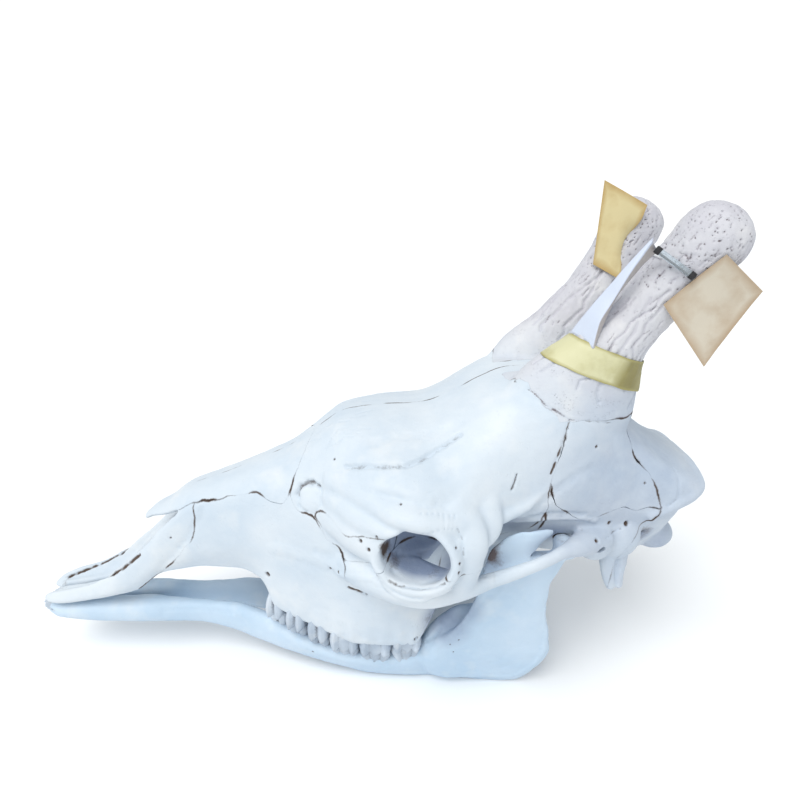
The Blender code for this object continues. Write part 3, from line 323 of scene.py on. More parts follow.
coreLines = dict(
    roofZ=[(108, 122), (128, 148), (145, 166), (163, 180), (190, 197), (206, 206), (245, 224),
           (268, 240), (285, 254), (300, 264), (335, 270), (371, 272), (401, 284), (425, 297),
           (446, 306), (475, 308), (500, 304), (530, 290), (557, 269), (575, 254), (590, 244),
           (606, 236), (622, 227)],
    roofHalf=[(108, 10), (163, 16), (206, 22), (245, 28), (285, 38), (335, 55), (371, 64),
              (400, 68), (446, 70), (475, 70), (500, 68), (530, 56), (557, 44), (606, 46),
              (622, 46)],
    roofDrop=[(108, 3), (206, 4), (285, 8), (371, 12), (400, 15), (446, 14), (475, 13),
              (500, 14), (557, 12), (622, 6)],
    browHalf=[(108, 21), (145, 27), (163, 30), (212, 38), (243, 46), (275, 59), (300, 74),
              (335, 97), (371, 108), (400, 108), (425, 98), (446, 89), (475, 84), (500, 80),
              (515, 75), (540, 68), (557, 63), (590, 62), (606, 63), (622, 58)],
    browZ=[(108, 118), (145, 154), (163, 174), (212, 192), (243, 200), (275, 206), (300, 220),
           (335, 232), (371, 224), (400, 212), (425, 208), (446, 213), (475, 232), (500, 245),
           (515, 248), (540, 244), (557, 240), (590, 227), (606, 219), (622, 213)],
    cheekHalf=[(108, 26), (145, 33), (163, 36), (212, 44), (243, 52), (275, 64), (300, 75),
               (335, 84), (371, 74), (400, 64), (428, 68), (450, 75), (475, 78), (500, 77),
               (530, 73), (557, 68), (590, 66), (606, 60), (622, 50)],
    cheekZ=[(108, 106), (145, 128), (163, 140), (212, 150), (243, 155), (275, 163), (300, 160),
            (335, 155), (371, 150), (400, 168), (428, 186), (450, 191), (475, 194), (500, 197),
            (530, 195), (557, 192), (590, 196), (606, 201), (622, 206)],
    gumHalf=[(108, 25), (145, 30), (201, 34), (221, 39), (232, 46), (254, 55), (279, 63),
             (297, 69), (315, 75), (346, 78), (366, 78), (387, 66), (402, 50), (446, 42),
             (500, 54), (557, 50), (606, 34), (622, 30)],
    gumZ=[(108, 96), (145, 109), (173, 113), (201, 112), (221, 105), (228, 97), (234, 82),
          (254, 75), (279, 68), (297, 62), (315, 60), (346, 60), (366, 60), (378, 72), (388, 91),
          (402, 114), (446, 140), (500, 142), (557, 136), (594, 138), (606, 152), (614, 184),
          (622, 205)],
    palateHalf=[(108, 12), (173, 18), (221, 22), (254, 32), (300, 42), (363, 46), (385, 40),
                (446, 22), (557, 24), (606, 20), (622, 18)],
    palateZ=[(108, 99), (173, 117), (221, 113), (254, 103), (300, 92), (363, 90), (385, 102),
             (400, 124), (446, 136), (500, 134), (557, 128), (594, 132), (606, 148), (614, 182),
             (622, 207)],
    steps=110, sides=96)

nasal = dict(
    top=[(108, 156), (113, 160), (120, 166), (133, 173), (152, 187), (180, 198), (206, 208),
         (245, 226), (275, 243)],
    half=[(108, 5), (113, 9), (118, 12), (133, 18), (150, 25), (163, 29), (190, 33), (212, 37),
          (245, 40), (275, 42)],
    drop=[(108, 1), (133, 6), (163, 11), (212, 15), (275, 22)],
    thick=[(108, 6), (140, 9), (200, 14), (275, 20)], steps=60, sides=44)

premaxilla = dict(
    inner=[(1, 5), (10, 2.2), (25, 2.2), (50, 3), (75, 8), (100, 15), (130, 21), (172, 27)],
    outer=[(1, 13), (10, 20), (25, 24), (50, 26), (75, 28), (100, 30), (130, 32), (172, 34)],
    low=[(1, 65), (10, 64), (25, 65), (50, 69), (75, 74.5), (100, 84), (115, 97), (130, 112),
         (145, 125), (160, 142), (172, 165)],
    top=[(1, 69), (10, 75.5), (25, 80.5), (50, 88), (75, 103), (100, 124), (115, 138), (130, 156),
         (145, 171), (160, 181), (172, 186)], steps=60, sides=40)

socket = dict(x=361, y=116, z=186, halfLength=31, halfHeight=25.5, rim=4.6, rimOut=2, rimIn=7,
              thinTop=0.45, turnForward=18, turnDown=8, depth=47, shrink=3)
socketShade = dict(grow=1, start=5, over=9, past=4, edge=1.08, soft=0.12)

flatBars = dict(
    arch=[(308, 78, 146, 10, 8), (330, 96, 147, 12, 9), (350, 106, 146, 12, 9),
          (375, 114, 147, 11, 8), (400, 115, 153, 9, 7), (428, 109, 159, 7, 5.5),
          (455, 106, 167, 6, 5), (478, 102, 175, 6, 5), (486, 98, 177, 6.5, 6),
          (494, 94, 177, 7.5, 8), (503, 88, 176, 9, 10.5), (516, 78, 173, 11.5, 13),
          (530, 68, 170, 12, 14)],
    crest=[(392, 112, 214, 7, 9), (420, 96, 206, 6, 8), (450, 84, 212, 6, 8),
           (470, 79, 226, 6, 7), (490, 75, 240, 6, 7), (512, 68, 244, 5, 6),
           (536, 61, 242, 4, 5), (556, 54, 238, 3, 4)],
    nuchal=[(616, 0, 226, 5, 6), (618, 30, 223, 5.5, 6), (618, 52, 214, 6.5, 6),
            (608, 61, 207, 6, 5), (589, 65, 199, 6, 5), (570, 66, 188, 6, 5)],
    wing=[(378, 36, 100, 10, 5), (398, 33, 106, 14, 4), (425, 28, 116, 15, 3.5),
          (452, 23, 130, 12, 4)],
    cheekbone=[(290, 62, 149, 8, 7), (312, 74, 150, 16, 15), (334, 87, 151, 18, 21),
               (356, 98, 152, 16, 24), (376, 106, 153, 13, 20), (396, 110, 156, 10, 11)],
    tearSide=[(284, 58, 192, 14, 8), (302, 69, 192, 20, 15), (318, 82, 190, 22, 17),
              (334, 93, 188, 22, 18), (350, 102, 187, 17, 13)],
    browSide=[(288, 57, 207, 12, 9), (306, 71, 208, 13, 14), (324, 85, 206, 14, 18),
              (341, 93, 205, 12, 21), (356, 100, 206, 8, 19)],
    shelf=[(290, 56, 222, 10, 8), (312, 70, 223, 13, 14), (338, 84, 221, 13, 22),
           (364, 97, 217, 13, 26), (390, 99, 212, 13, 22), (414, 92, 208, 11, 12)],
    palateBar=[(14, 5, 70, 4, 3), (45, 5, 75, 4, 3.5), (80, 6, 83, 4.5, 4), (118, 9, 103, 6, 6)])

uprightBars = dict(
    eyeBar=[(390, 100, 222, 15, 10), (400, 111, 210, 16, 8), (404, 119, 196, 14, 7),
            (404, 119.5, 184, 11, 6.5), (401, 119, 170, 11, 6), (400, 115, 154, 10, 7)],
    eyePlate=[(412, 78, 246, 12, 4), (414, 88, 232, 14, 6), (417, 96, 218, 14, 7),
              (419, 102, 207, 13, 7), (412, 107, 197, 11, 6), (403, 113, 187, 8, 5.5),
              (400, 116, 178, 5, 5)],
    behindEar=[(557, 52, 166, 17, 9), (549, 58, 148, 15, 7), (549, 63, 130, 12, 5),
               (552, 67, 112, 8, 3)],
    horn=[(493, 42, 280, 57, 32), (502, 43.5, 300, 52, 30), (511, 46, 320, 41, 27),
          (521, 48.5, 342, 29, 25), (537, 52, 366, 23.5, 23), (553, 57, 390, 23.5, 23),
          (566, 63, 411, 25, 25), (575, 67, 425, 26.5, 26), (583, 69.5, 436, 23.5, 23),
          (588, 71, 443, 14.5, 14), (590, 71.5, 445.5, 5, 5)])

midBars = dict(vomer=[(330, 0, 122, 8, 3), (385, 0, 126, 10, 2.5), (430, 0, 134, 7, 3)])

# Lumps of the skull's base: centre and half sizes
lumps = dict(condyle=[(600, 27, 147), (19, 17, 15)], earBulb=[(530, 38, 148), (17, 11, 12)],
             earLump=[(526, 66, 166), (18, 14, 20)], mastoid=[(549, 62, 165), (20, 11, 21)])

hollows = dict(
    nose=[(88, 0, 127, 21, 12), (112, 0, 126, 20, 17), (135, 0, 138, 20, 19),
          (163, 0, 148, 21, 21), (195, 0, 154, 20, 21), (228, 0, 156, 13, 12)],
    throat=[(330, 0, 112, 8, 14), (350, 0, 110, 13, 22), (385, 0, 109, 17, 26),
            (420, 0, 108, 17, 24), (450, 0, 106, 16, 22)],
    spine=[(566, 0, 160, 15, 15), (650, 0, 160, 15, 15)])
earHole = [(523, 62, 168, 4.5, 4.5), (523, 100, 168, 4.5, 4.5)]


def coreBody():
    lines = linesOf(coreLines, "palateHalf palateZ gumHalf gumZ cheekHalf cheekZ browHalf browZ "
                    "roofHalf roofDrop roofZ")
    rings = []
    for x in stations(coreLines["roofZ"], coreLines["steps"]):
        (palHalf, palZ, gumHalf, gumZ, cheekHalf, cheekZ,
         browHalf, browZ, roofHalf, roofDrop, roofZ) = (line(x) for line in lines)
        left = [(palHalf, palZ - 1), (gumHalf * 0.86, gumZ + 1), (gumHalf, gumZ + 7),
                (cheekHalf, cheekZ), (browHalf, browZ), (roofHalf, roofZ - roofDrop)]
        ring = [(0, palZ)] + left + [(0, roofZ)] + [(-y, z) for y, z in reversed(left)]
        rings.append([(x, y, z) for y, z in closedCurve(ring, coreLines["sides"])])
    return loft("core", rings)


def nasalBody():
    top, half, drop, thick = linesOf(nasal, "top half drop thick")
    rings = []
    for x in stations(nasal["top"], nasal["steps"]):
        w, t, d, h = half(x), top(x), drop(x), thick(x)
        ring = [(0, t), (0.55 * w, t - 0.22 * d), (w, t - d), (0.8 * w, t - d - 0.5 * h),
                (0, t - h - 0.4 * d)]
        ring = ring + [(-y, z) for y, z in ring[3:0:-1]]
        rings.append([(x, y, z) for y, z in closedCurve(ring, nasal["sides"])])
    return loft("nasals", rings)


def premaxillaBody(side):
    inner, outer, low, top = linesOf(premaxilla, "inner outer low top")
    rings = []
    for x in stations(premaxilla["inner"], premaxilla["steps"]):
        y0, y1, z0, z1 = inner(x), outer(x), low(x), top(x)
        wide, tall = y1 - y0, z1 - z0
        trough = float(np.clip((105 - x) / 40, 0, 1))  # the two sides leave a channel between
        ring = [(y0, z0 + 3), (y0 + 0.5 * wide, z0), (y1, z0 + 0.3 * tall),
                (y1 - 0.10 * wide, z0 + 0.78 * tall), (y1 - (0.5 - 0.2 * trough) * wide, z1),
                (y1 - 0.70 * wide, z1 - (0.12 + 0.32 * trough) * tall),
                (y0, z1 - (0.3 + 0.28 * trough) * tall)]
        rings.append([(x, y * side, z) for y, z in closedCurve(ring, premaxilla["sides"])])
    return loft("premaxilla", rings)


def socketTurn(side):
    forward = Matrix.Rotation(math.radians(-socket["turnForward"]) * -side, 3, "Z")
    down = Matrix.Rotation(math.radians(socket["turnDown"]) * side, 3, "X")
    return forward @ down


def socketRim(side):
    turn = socketTurn(side)
    centre = Vector((socket["x"], socket["y"] * side, socket["z"]))
    steps, sides = 72, 18
    points = []
    for i in range(steps):
        a = 2 * math.pi * i / steps
        out = Vector((math.cos(a), 0, math.sin(a)))
        on = Vector((math.cos(a) * socket["halfLength"], 0, math.sin(a) * socket["halfHeight"]))
        thick = 1 - socket["thinTop"] * max(0.0, 0.8 * math.sin(a) - 0.6 * math.cos(a))
        for k in range(sides):
            b = 2 * math.pi * k / sides
            tube = out * (math.cos(b) * socket["rim"] * thick + socket["rimOut"]) \
                + Vector((0, math.sin(b) * socket["rimIn"] * thick, 0))
            points.append(centre + turn @ (on + tube))
    return closedBody("rim", points, gridFaces(steps, sides, True, True))


def craniumBody():
    bodies = [coreBody(), nasalBody()]
    bodies += [bar(name, rows, 1) for name, rows in midBars.items()]
    for side in (-1, 1):
        bodies += [premaxillaBody(side), socketRim(side)]
        bodies += [bar(name, rows, side) for name, rows in flatBars.items()]
        bodies += [bar(name, rows, side, steps=50, sides=44, reference=(1, 0, 0))
                   for name, rows in uprightBars.items()]
        bodies += [ball(name, (x, y * side, z), size)
                   for name, ((x, y, z), size) in lumps.items()]
    whole = fused(joined("cranium", bodies), skull["roughVoxel"])
    cutters = [bar(name, rows, 1, steps=24) for name, rows in hollows.items()]
    for side in (-1, 1):
        size = (socket["halfLength"] - socket["shrink"], socket["depth"],
                socket["halfHeight"] - socket["shrink"])
        centre = (socket["x"], socket["y"] * side, socket["z"])
        cutters.append(ball("socket", centre, size, socketTurn(side)))
        cutters.append(bar("ear", earHole, side, steps=4))
    cutAway(whole, cutters)
    return largestShell(fused(whole, skull["fineVoxel"], skull["soften"]))


# Relief of the bone: (route, width, depth) lines, and (x, y, z, radius, depth) pits.
# Routes are given for the left side, and the right side gets the same with its own wobble.
craniumMarks = dict(
    grooves=[
        ([(306, 66, 240), (318, 74, 244), (336, 82, 248), (354, 84, 250), (366, 79, 251),
          (378, 72, 257), (398, 66, 268)], 3.6, 2.2, 0.42),
        ([(440, 90, 231), (442, 89, 237), (444, 87, 243)], 1.5, 1.4),
        ([(330, 112, 169), (345, 119, 164), (358, 122, 163), (371, 126, 165), (382, 130, 173)],
         2.6, 1.2),
        ([(307, 75, 126), (315, 77, 124), (323, 78, 121)], 1.9, 1.4, 0.95),
        ([(445, 46, 308), (456, 62, 305), (466, 70, 296), (473, 72, 292), (484, 75, 285)],
         1.7, 0.8, 0.85),
        ([(484, 75, 285), (482, 79, 278), (480, 81, 270), (476, 83, 256), (472, 85, 242)],
         1.7, 0.8, 0.9),
        ([(484, 75, 285), (497, 74, 284), (520, 69, 281), (542, 57, 282)], 1.4, 0.5, 0.55),
        ([(434, 80, 188), (450, 80, 199), (477, 79, 204), (508, 75, 200)], 3.0, 1.2, 0.30),
        ([(551, 62, 142), (551, 65, 128), (553, 67, 110)], 3.2, 2.6, 0.35),
        ([(497, 90, 171), (508, 84, 172), (514, 82, 173)], 1.8, 0.9, 0.6),
        ([(526, 80, 176), (540, 72, 178), (546, 70, 180)], 1.6, 0.8, 0.6),
        ([(304, 75, 150), (292, 72, 153), (280, 66, 156)], 7, 0.8),
        ([(505, 76, 243), (488, 80, 236), (472, 82, 222), (458, 80, 212), (446, 84, 204)],
         7.0, 1.0),
        ([(589, 55, 233), (592, 63, 222), (593, 65, 208), (585, 68, 201)], 2.0, 0.8),
        ([(330, 60, 262), (350, 56, 268), (372, 58, 270), (395, 60, 280)], 8, 0.7),
        ([(150, 33, 140), (160, 34, 150), (166, 33, 165)], 5, 0.6),
        ([(392, 118, 214), (396, 120, 206), (397, 126, 196)], 2.2, 0.9),
        ([(404, 112, 168), (418, 113, 170), (430, 112, 170)], 2.4, 0.6),
        ([(14, 10, 75), (25, 13, 77), (43, 17, 82), (60, 20, 89), (68, 21, 94), (80, 22, 102)],
         2.4, 1.6, 1.0),
        ([(68, 21, 94), (80, 22, 102), (91, 23, 110), (109, 24, 125)], 3.4, 2.2, 1.0)],
    ridges=[
        ([(327, 112, 164), (338, 118, 157), (350, 122, 153), (364, 126, 152), (378, 129, 157),
          (388, 130, 166)], 3.4, 1.3),
        ([(300, 74, 143), (316, 84, 150), (330, 100, 156), (342, 116, 160)], 4.5, 1.0),
        ([(240, 44, 150), (262, 56, 148), (285, 68, 147), (304, 76, 146)], 8, 0.9),
        ([(431, 80, 181), (452, 80, 192), (477, 80, 197), (509, 76, 194), (520, 74, 191)],
         3.2, 1.7),
        ([(300, 70, 232), (325, 92, 237), (350, 104, 238), (372, 108, 232)], 6, 0.9)],
    pits=[
        (317, 105, 193, 1.9, 2.2), (329, 115, 201, 1.7, 1.8), (324, 109, 188, 2.1, 2.4),
        (292, 70, 143, 1.9, 2.0), (303, 76, 147, 1.5, 1.6), (392, 127, 203, 1.6, 1.8),
        (394, 130, 191, 1.5, 1.6), (394, 132, 183, 1.6, 1.6), (551, 67, 183, 2.6, 3.0),
        (369, 79, 66, 2.4, 3.0), (232, 44, 118, 3.2, 3.6), (300, 52, 238, 1.4, 1.4),
        (535, 72, 186, 1.8, 1.8),
        (142, 31, 150, 1.3, 1.2), (350, 104, 222, 1.4, 1.2), (560, 62, 222, 1.5, 1.4),
        (508, 70, 262, 1.6, 1.6), (404, 114, 158, 1.3, 1.2), (571, 60, 166, 6.0, 4.5),
        (517, 88, 180, 2.8, 3.2)])
noseBubble = dict(at=(274, 58, 206), radius=18.5, wobble=1.8, moat=4.2, moatWidth=4.4,
                  moatAt=0.74, bulge=1.6, bulgeTo=0.66)
eyeRays = dict(count=7, x=370, spread=3.6, lean=0.8, low=(118, 214), high=(113, 223), width=1.5,
               depth=0.7)
foreheadFolds = dict(count=26, low=(275, 12, 240), high=(318, 46, 262), length=(6, 15), turn=0.9,
                     climb=0.4, bend=2, width=1.5, depth=0.35, seed=5)


def snapped(route, places):  # the skin's own points nearest to a route
    out = []
    for point in np.array(route, float):
        near = np.abs(places - point).max(axis=1) < 16
        if near.any():
            spots = places[near]
            point = spots[np.argmin(((spots - point) ** 2).sum(axis=1))]
        out.append(point)
    return np.array(out)


def routeFade(places, route, width, seed):  # 1 on a route, 0 past its width
    amount = np.zeros(len(places))
    low, high = route.min(axis=0) - width * 1.6, route.max(axis=0) + width * 1.6
    near = np.nonzero(((places > low) & (places < high)).all(axis=1))[0]
    if not len(near):
        return amount
    spots = places[near]
    best = np.full(len(near), 1e9)
    pairs = list(zip(route, route[1:])) or [(route[0], route[0] + 1e-3)]
    for a, b in pairs:
        run = b - a
        t = np.clip(((spots - a) @ run) / max(run @ run, 1e-9), 0, 1)
        best = np.minimum(best, np.linalg.norm(spots - a - t[:, None] * run, axis=1))
    best = best + softNoise(spots, 3.2, seed) * width * 0.22
    fade = np.clip(1 - (np.clip(best, 0, None) / width) ** 2, 0, 1) ** 1.5
    amount[near] = fade
    return amount


def markSkin(places, marks, sides=(-1, 1)):  # how far each point moves out, and how much soiling and painted shade it gets
    out = np.zeros(len(places))
    dirtAndShade = np.zeros(len(places))
    for side in sides:
        flip = np.array([1, side, 1])
        for number, (route, width, depth, *dark) in enumerate(marks["grooves"]):
            fade = routeFade(places, snapped(np.array(route, float) * flip, places), width, number)
            out -= fade * depth
            stainshade = dark[0] if dark else min(1, depth / 2) if width < 3 else 0
            dotted = np.clip(0.85 + 1.1 * softNoise(places, 4.5, number + 7), 0.15, 1.1)
            dirtAndShade = np.maximum(dirtAndShade, fade * stainshade * dotted)
        for number, (route, width, height) in enumerate(marks["ridges"]):
            out += height * routeFade(places, snapped(np.array(route, float) * flip, places),
                                      width, number + 40)
        for number, (x, y, z, radius, depth) in enumerate(marks["pits"]):
            spot = snapped([(x, y * side, z)], places)
            fade = routeFade(places, spot, radius * 1.25, number + 80)
            out -= fade * depth
            dirtAndShade = np.maximum(dirtAndShade, np.clip(fade * 1.3, 0, 1))
    return out, dirtAndShade


# Unevenness of the skin, as (height, length, seed) rows
skinWaves = dict(cranium=[(0.30, 15, 1), (0.16, 6.5, 2), (0.07, 3.0, 4)],
                 jaw=[(0.28, 14, 61), (0.15, 6, 62), (0.07, 3, 63)],
                 horn=[(0.45, 4.2, 8), (0.3, 2.3, 9)])


def waves(places, rows):
    return sum(height * softNoise(places, length, seed) for height, length, seed in rows)


def bubbleSkin(places, side):  # a thin bone blister in the gap beside the nose
    spot = snapped([noseBubble["at"] * np.array([1, side, 1])], places)[0]
    radius = noseBubble["radius"]
    d = np.linalg.norm(places - spot, axis=1) + softNoise(places, 6, 3) * noseBubble["wobble"]
    moat = np.exp(-((d - radius * noseBubble["moatAt"]) / (noseBubble["moatWidth"] * 0.5)) ** 2)
    lean = ((places[:, 2] - spot[2]) * 0.75 - (places[:, 0] - spot[0]) * 0.65) / radius
    deep = np.clip(0.42 + 0.75 * lean + 0.35 * softNoise(places, 5, 5), 0.04, 1.1)
    dome = np.clip(1 - (d / (radius * noseBubble["bulgeTo"])) ** 2, 0, 1)
    return noseBubble["bulge"] * dome - noseBubble["moat"] * moat * deep, moat * deep ** 2


# Brown soiling, with painted shade, in sheltered gaps and recesses: (x, y, z, radius, strength)
grimeAndShade = [(337, 105, 191, 9, 1.0), (337, 99, 180, 13, 1.0), (342, 97, 166, 13, 1.0),
         (345, 104, 196, 10, 0.9), (348, 92, 158, 14, 0.9), (360, 108, 163, 11, 0.45),
         (377, 108, 163, 12, 0.45), (427, 84, 170, 18, 0.95), (418, 92, 160, 16, 0.60),
         (436, 84, 190, 12, 0.55), (571, 56, 164, 16, 0.75), (384, 68, 86, 14, 0.50),
         (391, 78, 104, 12, 0.60), (474, 78, 170, 17, 0.50), (489, 82, 178, 12, 0.45),
         (506, 76, 178, 10, 0.45),
         (16, 6, 70, 12, 0.45), (60, 6, 82, 16, 0.55), (92, 10, 104, 14, 0.60),
         (120, 12, 122, 18, 0.55), (540, 52, 148, 16, 0.40), (520, 40, 140, 20, 0.35)]


def spotsOn(places, spots, core, fall):  # the strongest spot at each place, on both sides
    total = np.zeros(len(places))
    for x, y, z, radius, strength in spots:
        for side in (-1, 1):
            d = np.linalg.norm(places - np.array([x, y * side, z]), axis=1)
            total = np.maximum(total, strength * np.clip(core - fall * d / radius, 0, 1))
    return total


def grimeAndShadeOn(places):
    patchy = np.clip(0.75 + 0.8 * softNoise(places, 9, 77), 0, 1.2)
    return spotsOn(places, grimeAndShade, 1.25, 1.0) * patchy


# Grey-blue shade in hollows that the light hardly reaches: (x, y, z, radius, strength)
gloom = [(404, 66, 186, 40, 1.0), (410, 76, 176, 30, 0.9), (424, 78, 172, 30, 0.8),
         (446, 80, 182, 26, 0.6), (485, 76, 172, 26, 0.9), (400, 60, 100, 30, 0.8),
         (412, 60, 134, 34, 0.9), (384, 66, 84, 20, 0.7),
         (572, 54, 162, 22, 0.8), (598, 34, 145, 30, 0.65), (556, 58, 150, 22, 0.4),
         (548, 60, 222, 110, 0.50), (600, 50, 205, 60, 0.42), (505, 84, 190, 60, 0.45),
         (560, 66, 130, 40, 0.35)]
jawGloom = [(393, 76, 84, 30, 0.85), (406, 80, 104, 26, 0.75), (476, 84, 176, 22, 0.7),
            (428, 86, 160, 20, 0.5)]


def gloomOn(places, spots):
    return spotsOn(places, spots, 1.5, 1.5)


def socketGloom(places):  # painted shade on the inside of the eye socket, behind its rim
    total = np.zeros(len(places))
    for side in (-1, 1):
        near = places - np.array([socket["x"], socket["y"] * side, socket["z"]])
        along, outward, upward = (near @ np.array(socketTurn(side))).T
        inward = -outward * side
        out = np.sqrt((along / (socket["halfLength"] + socketShade["grow"])) ** 2
                      + (upward / (socket["halfHeight"] + socketShade["grow"])) ** 2)
        deep = np.clip((inward - socketShade["start"]) / socketShade["over"], 0, 1)
        within = np.clip((socketShade["edge"] - out) / socketShade["soft"], 0, 1)
        total = np.maximum(total, deep * within
                           * (inward < socket["depth"] + socketShade["past"]))
    return total


def rayMarks():
    routes = []
    for k in range(eyeRays["count"]):
        x = eyeRays["x"] + eyeRays["spread"] * (k - 1)
        top = x + eyeRays["lean"] * (k - 2)
        routes.append(([(x, *eyeRays["low"]), (top, *eyeRays["high"])], eyeRays["width"],
                       eyeRays["depth"]))
    return routes


def foldMarks():
    rng = np.random.default_rng(foreheadFolds["seed"])
    low, high = np.array(foreheadFolds["low"], float), np.array(foreheadFolds["high"], float)
    routes = []
    for _ in range(foreheadFolds["count"]):
        start = low + (high - low) * rng.random(3)
        start[2] = low[2] + (high[2] - low[2]) * (start[0] - low[0]) / (high[0] - low[0])
        turn = rng.uniform(-foreheadFolds["turn"], foreheadFolds["turn"])
        length = rng.uniform(*foreheadFolds["length"])
        run = np.array([math.cos(turn), math.sin(turn), foreheadFolds["climb"]]) * length
        bend = np.array([0, rng.uniform(-foreheadFolds["bend"], foreheadFolds["bend"]), 0])
        routes.append(([start, start + run / 2 + bend, start + run], foreheadFolds["width"],
                       foreheadFolds["depth"] * rng.uniform(0.6, 1.4)))
    return routes


# Skin of the horns: long vessel grooves low down, dashes up the shaft, pores at the tip
hornSkin = dict(vessels=15, vesselFrom=(298, 322), vesselTo=(362, 404), vesselStep=(5, 9),
                vesselWander=0.085, vesselWidth=2.0, vesselDepth=1.3, dashes=230, dashWidth=1.25,
                dashDepth=0.75, dashLength=(2.5, 8), pores=460, poreRadius=(0.9, 1.35),
                poreDepth=(0.8, 1.6), shaftFrom=322, shaftTo=430, tipFrom=388, seed=11)


def hornMarks(places, side):
    rng = np.random.default_rng(hornSkin["seed"] + side)
    rows = alongRows(uprightBars["horn"], 60)
    centre = rows[:, :3] * np.array([1, side, 1])
    at = np.nonzero((places[:, 2] > 285) & (places[:, 1] * side > 12))[0]
    spots = places[at]
    out = np.zeros(len(spots))
    dirtAndShade = np.zeros(len(spots))

    def surface(level, angle):  # a point of the horn's skin, and the horn's direction there
        i = int(np.clip(np.searchsorted(centre[:, 2], level), 1, len(centre) - 2))
        axis = unit(centre[i + 1] - centre[i - 1])
        across = unit(np.cross(axis, [0, 1, 0]))
        depth = np.cross(axis, across)
        return centre[i] + (across * math.cos(angle) * rows[i, 3]
                            + depth * math.sin(angle) * rows[i, 4]), axis

    for k in range(hornSkin["vessels"]):
        angle = 2 * math.pi * (k + rng.uniform(-0.3, 0.3)) / hornSkin["vessels"]
        level, top = rng.uniform(*hornSkin["vesselFrom"]), rng.uniform(*hornSkin["vesselTo"])
        route = []
        while level < top:
            angle += rng.normal(0, hornSkin["vesselWander"])
            route.append(surface(level, angle)[0])
            level += rng.uniform(*hornSkin["vesselStep"])
        fade = routeFade(spots, snapped(route, spots), hornSkin["vesselWidth"]
                         * rng.uniform(0.7, 1.2), k)
        out -= fade * hornSkin["vesselDepth"] * rng.uniform(0.7, 1.2)
        dirtAndShade = np.maximum(dirtAndShade, fade * rng.uniform(0.15, 0.5))
    for k in range(hornSkin["dashes"]):
        level = rng.uniform(hornSkin["shaftFrom"], hornSkin["shaftTo"])
        point, axis = surface(level, rng.uniform(0, 2 * math.pi))
        run = axis * rng.uniform(*hornSkin["dashLength"]) + rng.normal(0, 0.7, 3)
        route = snapped([point, point + run / 2, point + run], spots)
        fade = routeFade(spots, route, hornSkin["dashWidth"] * rng.uniform(0.8, 1.3), k)
        out -= fade * hornSkin["dashDepth"] * rng.uniform(0.6, 1.3)
        dirtAndShade = np.maximum(dirtAndShade, fade * rng.uniform(0.1, 0.6))
    tip = np.nonzero(spots[:, 2] > hornSkin["tipFrom"])[0]
    for k in rng.choice(tip, hornSkin["pores"], replace=False):
        radius = rng.uniform(*hornSkin["poreRadius"])
        fade = routeFade(spots, spots[k][None], radius, int(k) % 97)
        out -= fade * rng.uniform(*hornSkin["poreDepth"])
        dirtAndShade = np.maximum(dirtAndShade, fade * rng.uniform(0.45, 1.1))
    rough = np.clip((spots[:, 2] - 300) / 60, 0, 1)
    return at, out + rough * waves(spots * np.array([1.0, 1.0, 0.45]), skinWaves["horn"]), dirtAndShade


teeth = dict(starts=[226, 246, 267, 288, 316, 346], end=374, lobes=[1, 1, 1, 2, 2, 2],
             half=[(226, 45), (254, 56), (279, 64), (305, 71), (330, 75.5), (355, 77.5),
                   (374, 76.5)],
             gum=[(226, 85), (244, 82), (260, 78), (275, 73), (290, 69.5), (304, 66.5),
                  (345, 66), (374, 66)],
             tip=[(226, 71), (243, 65), (262, 57), (280, 50), (300, 45.5), (327, 44), (345, 48),
                  (374, 54)],
             lowerHalf=[(226, 31), (254, 45), (279, 55), (305, 62.5), (330, 67.5), (355, 69.5),
                        (374, 68.5)],
             upperDepth=19.0, lowerDepth=12.0, biteGap=0.35, root=9.0,
             sidestep=-0.6, gap=0.25, seed=3, sizeChange=0.035, lean=0.05)
rootSwell = dict(height=1.25, width=0.30, valley=0.45, reach=26, below=6, inward=10)


def cheekTeeth():  # start, end and number of lobes of each
    return zip(teeth["starts"], teeth["starts"][1:] + [teeth["end"]], teeth["lobes"])


def rootBulges(places):  # the bone swells over each root of the cheek teeth
    above = places[:, 2] - smoothLine(teeth["gum"])(places[:, 0])
    bulge = np.zeros(len(places))
    for start, end, lobes in cheekTeeth():
        width = (end - start) / lobes
        for k in range(lobes):
            middle = start + (k + 0.5) * width
            bulge += np.exp(-((places[:, 0] - middle) / (width * rootSwell["width"])) ** 2)
    below = rootSwell["below"]
    reach = np.clip(1 - above / rootSwell["reach"], 0, 1) * np.clip((above + below) / below, 0, 1)
    outer = np.abs(places[:, 1]) > smoothLine(teeth["half"])(places[:, 0]) - rootSwell["inward"]
    return np.where(outer, (bulge - rootSwell["valley"]) * reach * rootSwell["height"], 0)


def withRelief(thing, places, dirtAndShade):
    setPlaces(thing.data, places)
    setValues(thing.data, "dirtAndShade", dirtAndShade)
    setValues(thing.data, "skin", np.ones(len(places)))
    return thing


def craniumRelief(thing):
    places, normals = vertexArrays(thing.data)
    marks = dict(craniumMarks)
    marks["grooves"] = craniumMarks["grooves"] + rayMarks() + foldMarks()
    out, dirtAndShade = markSkin(places, marks)
    for side in (-1, 1):
        moved, dark = bubbleSkin(places, side)
        out += moved
        dirtAndShade = np.maximum(dirtAndShade, dark)
        at, moved, dark = hornMarks(places, side)
        out[at] += moved
        dirtAndShade[at] = np.maximum(dirtAndShade[at], dark)
    out += rootBulges(places)
    calm = np.clip((300 - places[:, 2]) / 20, 0.35, 1)
    out += calm * waves(places, skinWaves["cranium"])
    return withRelief(thing, places + normals * out[:, None], np.maximum(dirtAndShade, grimeAndShadeOn(places)))


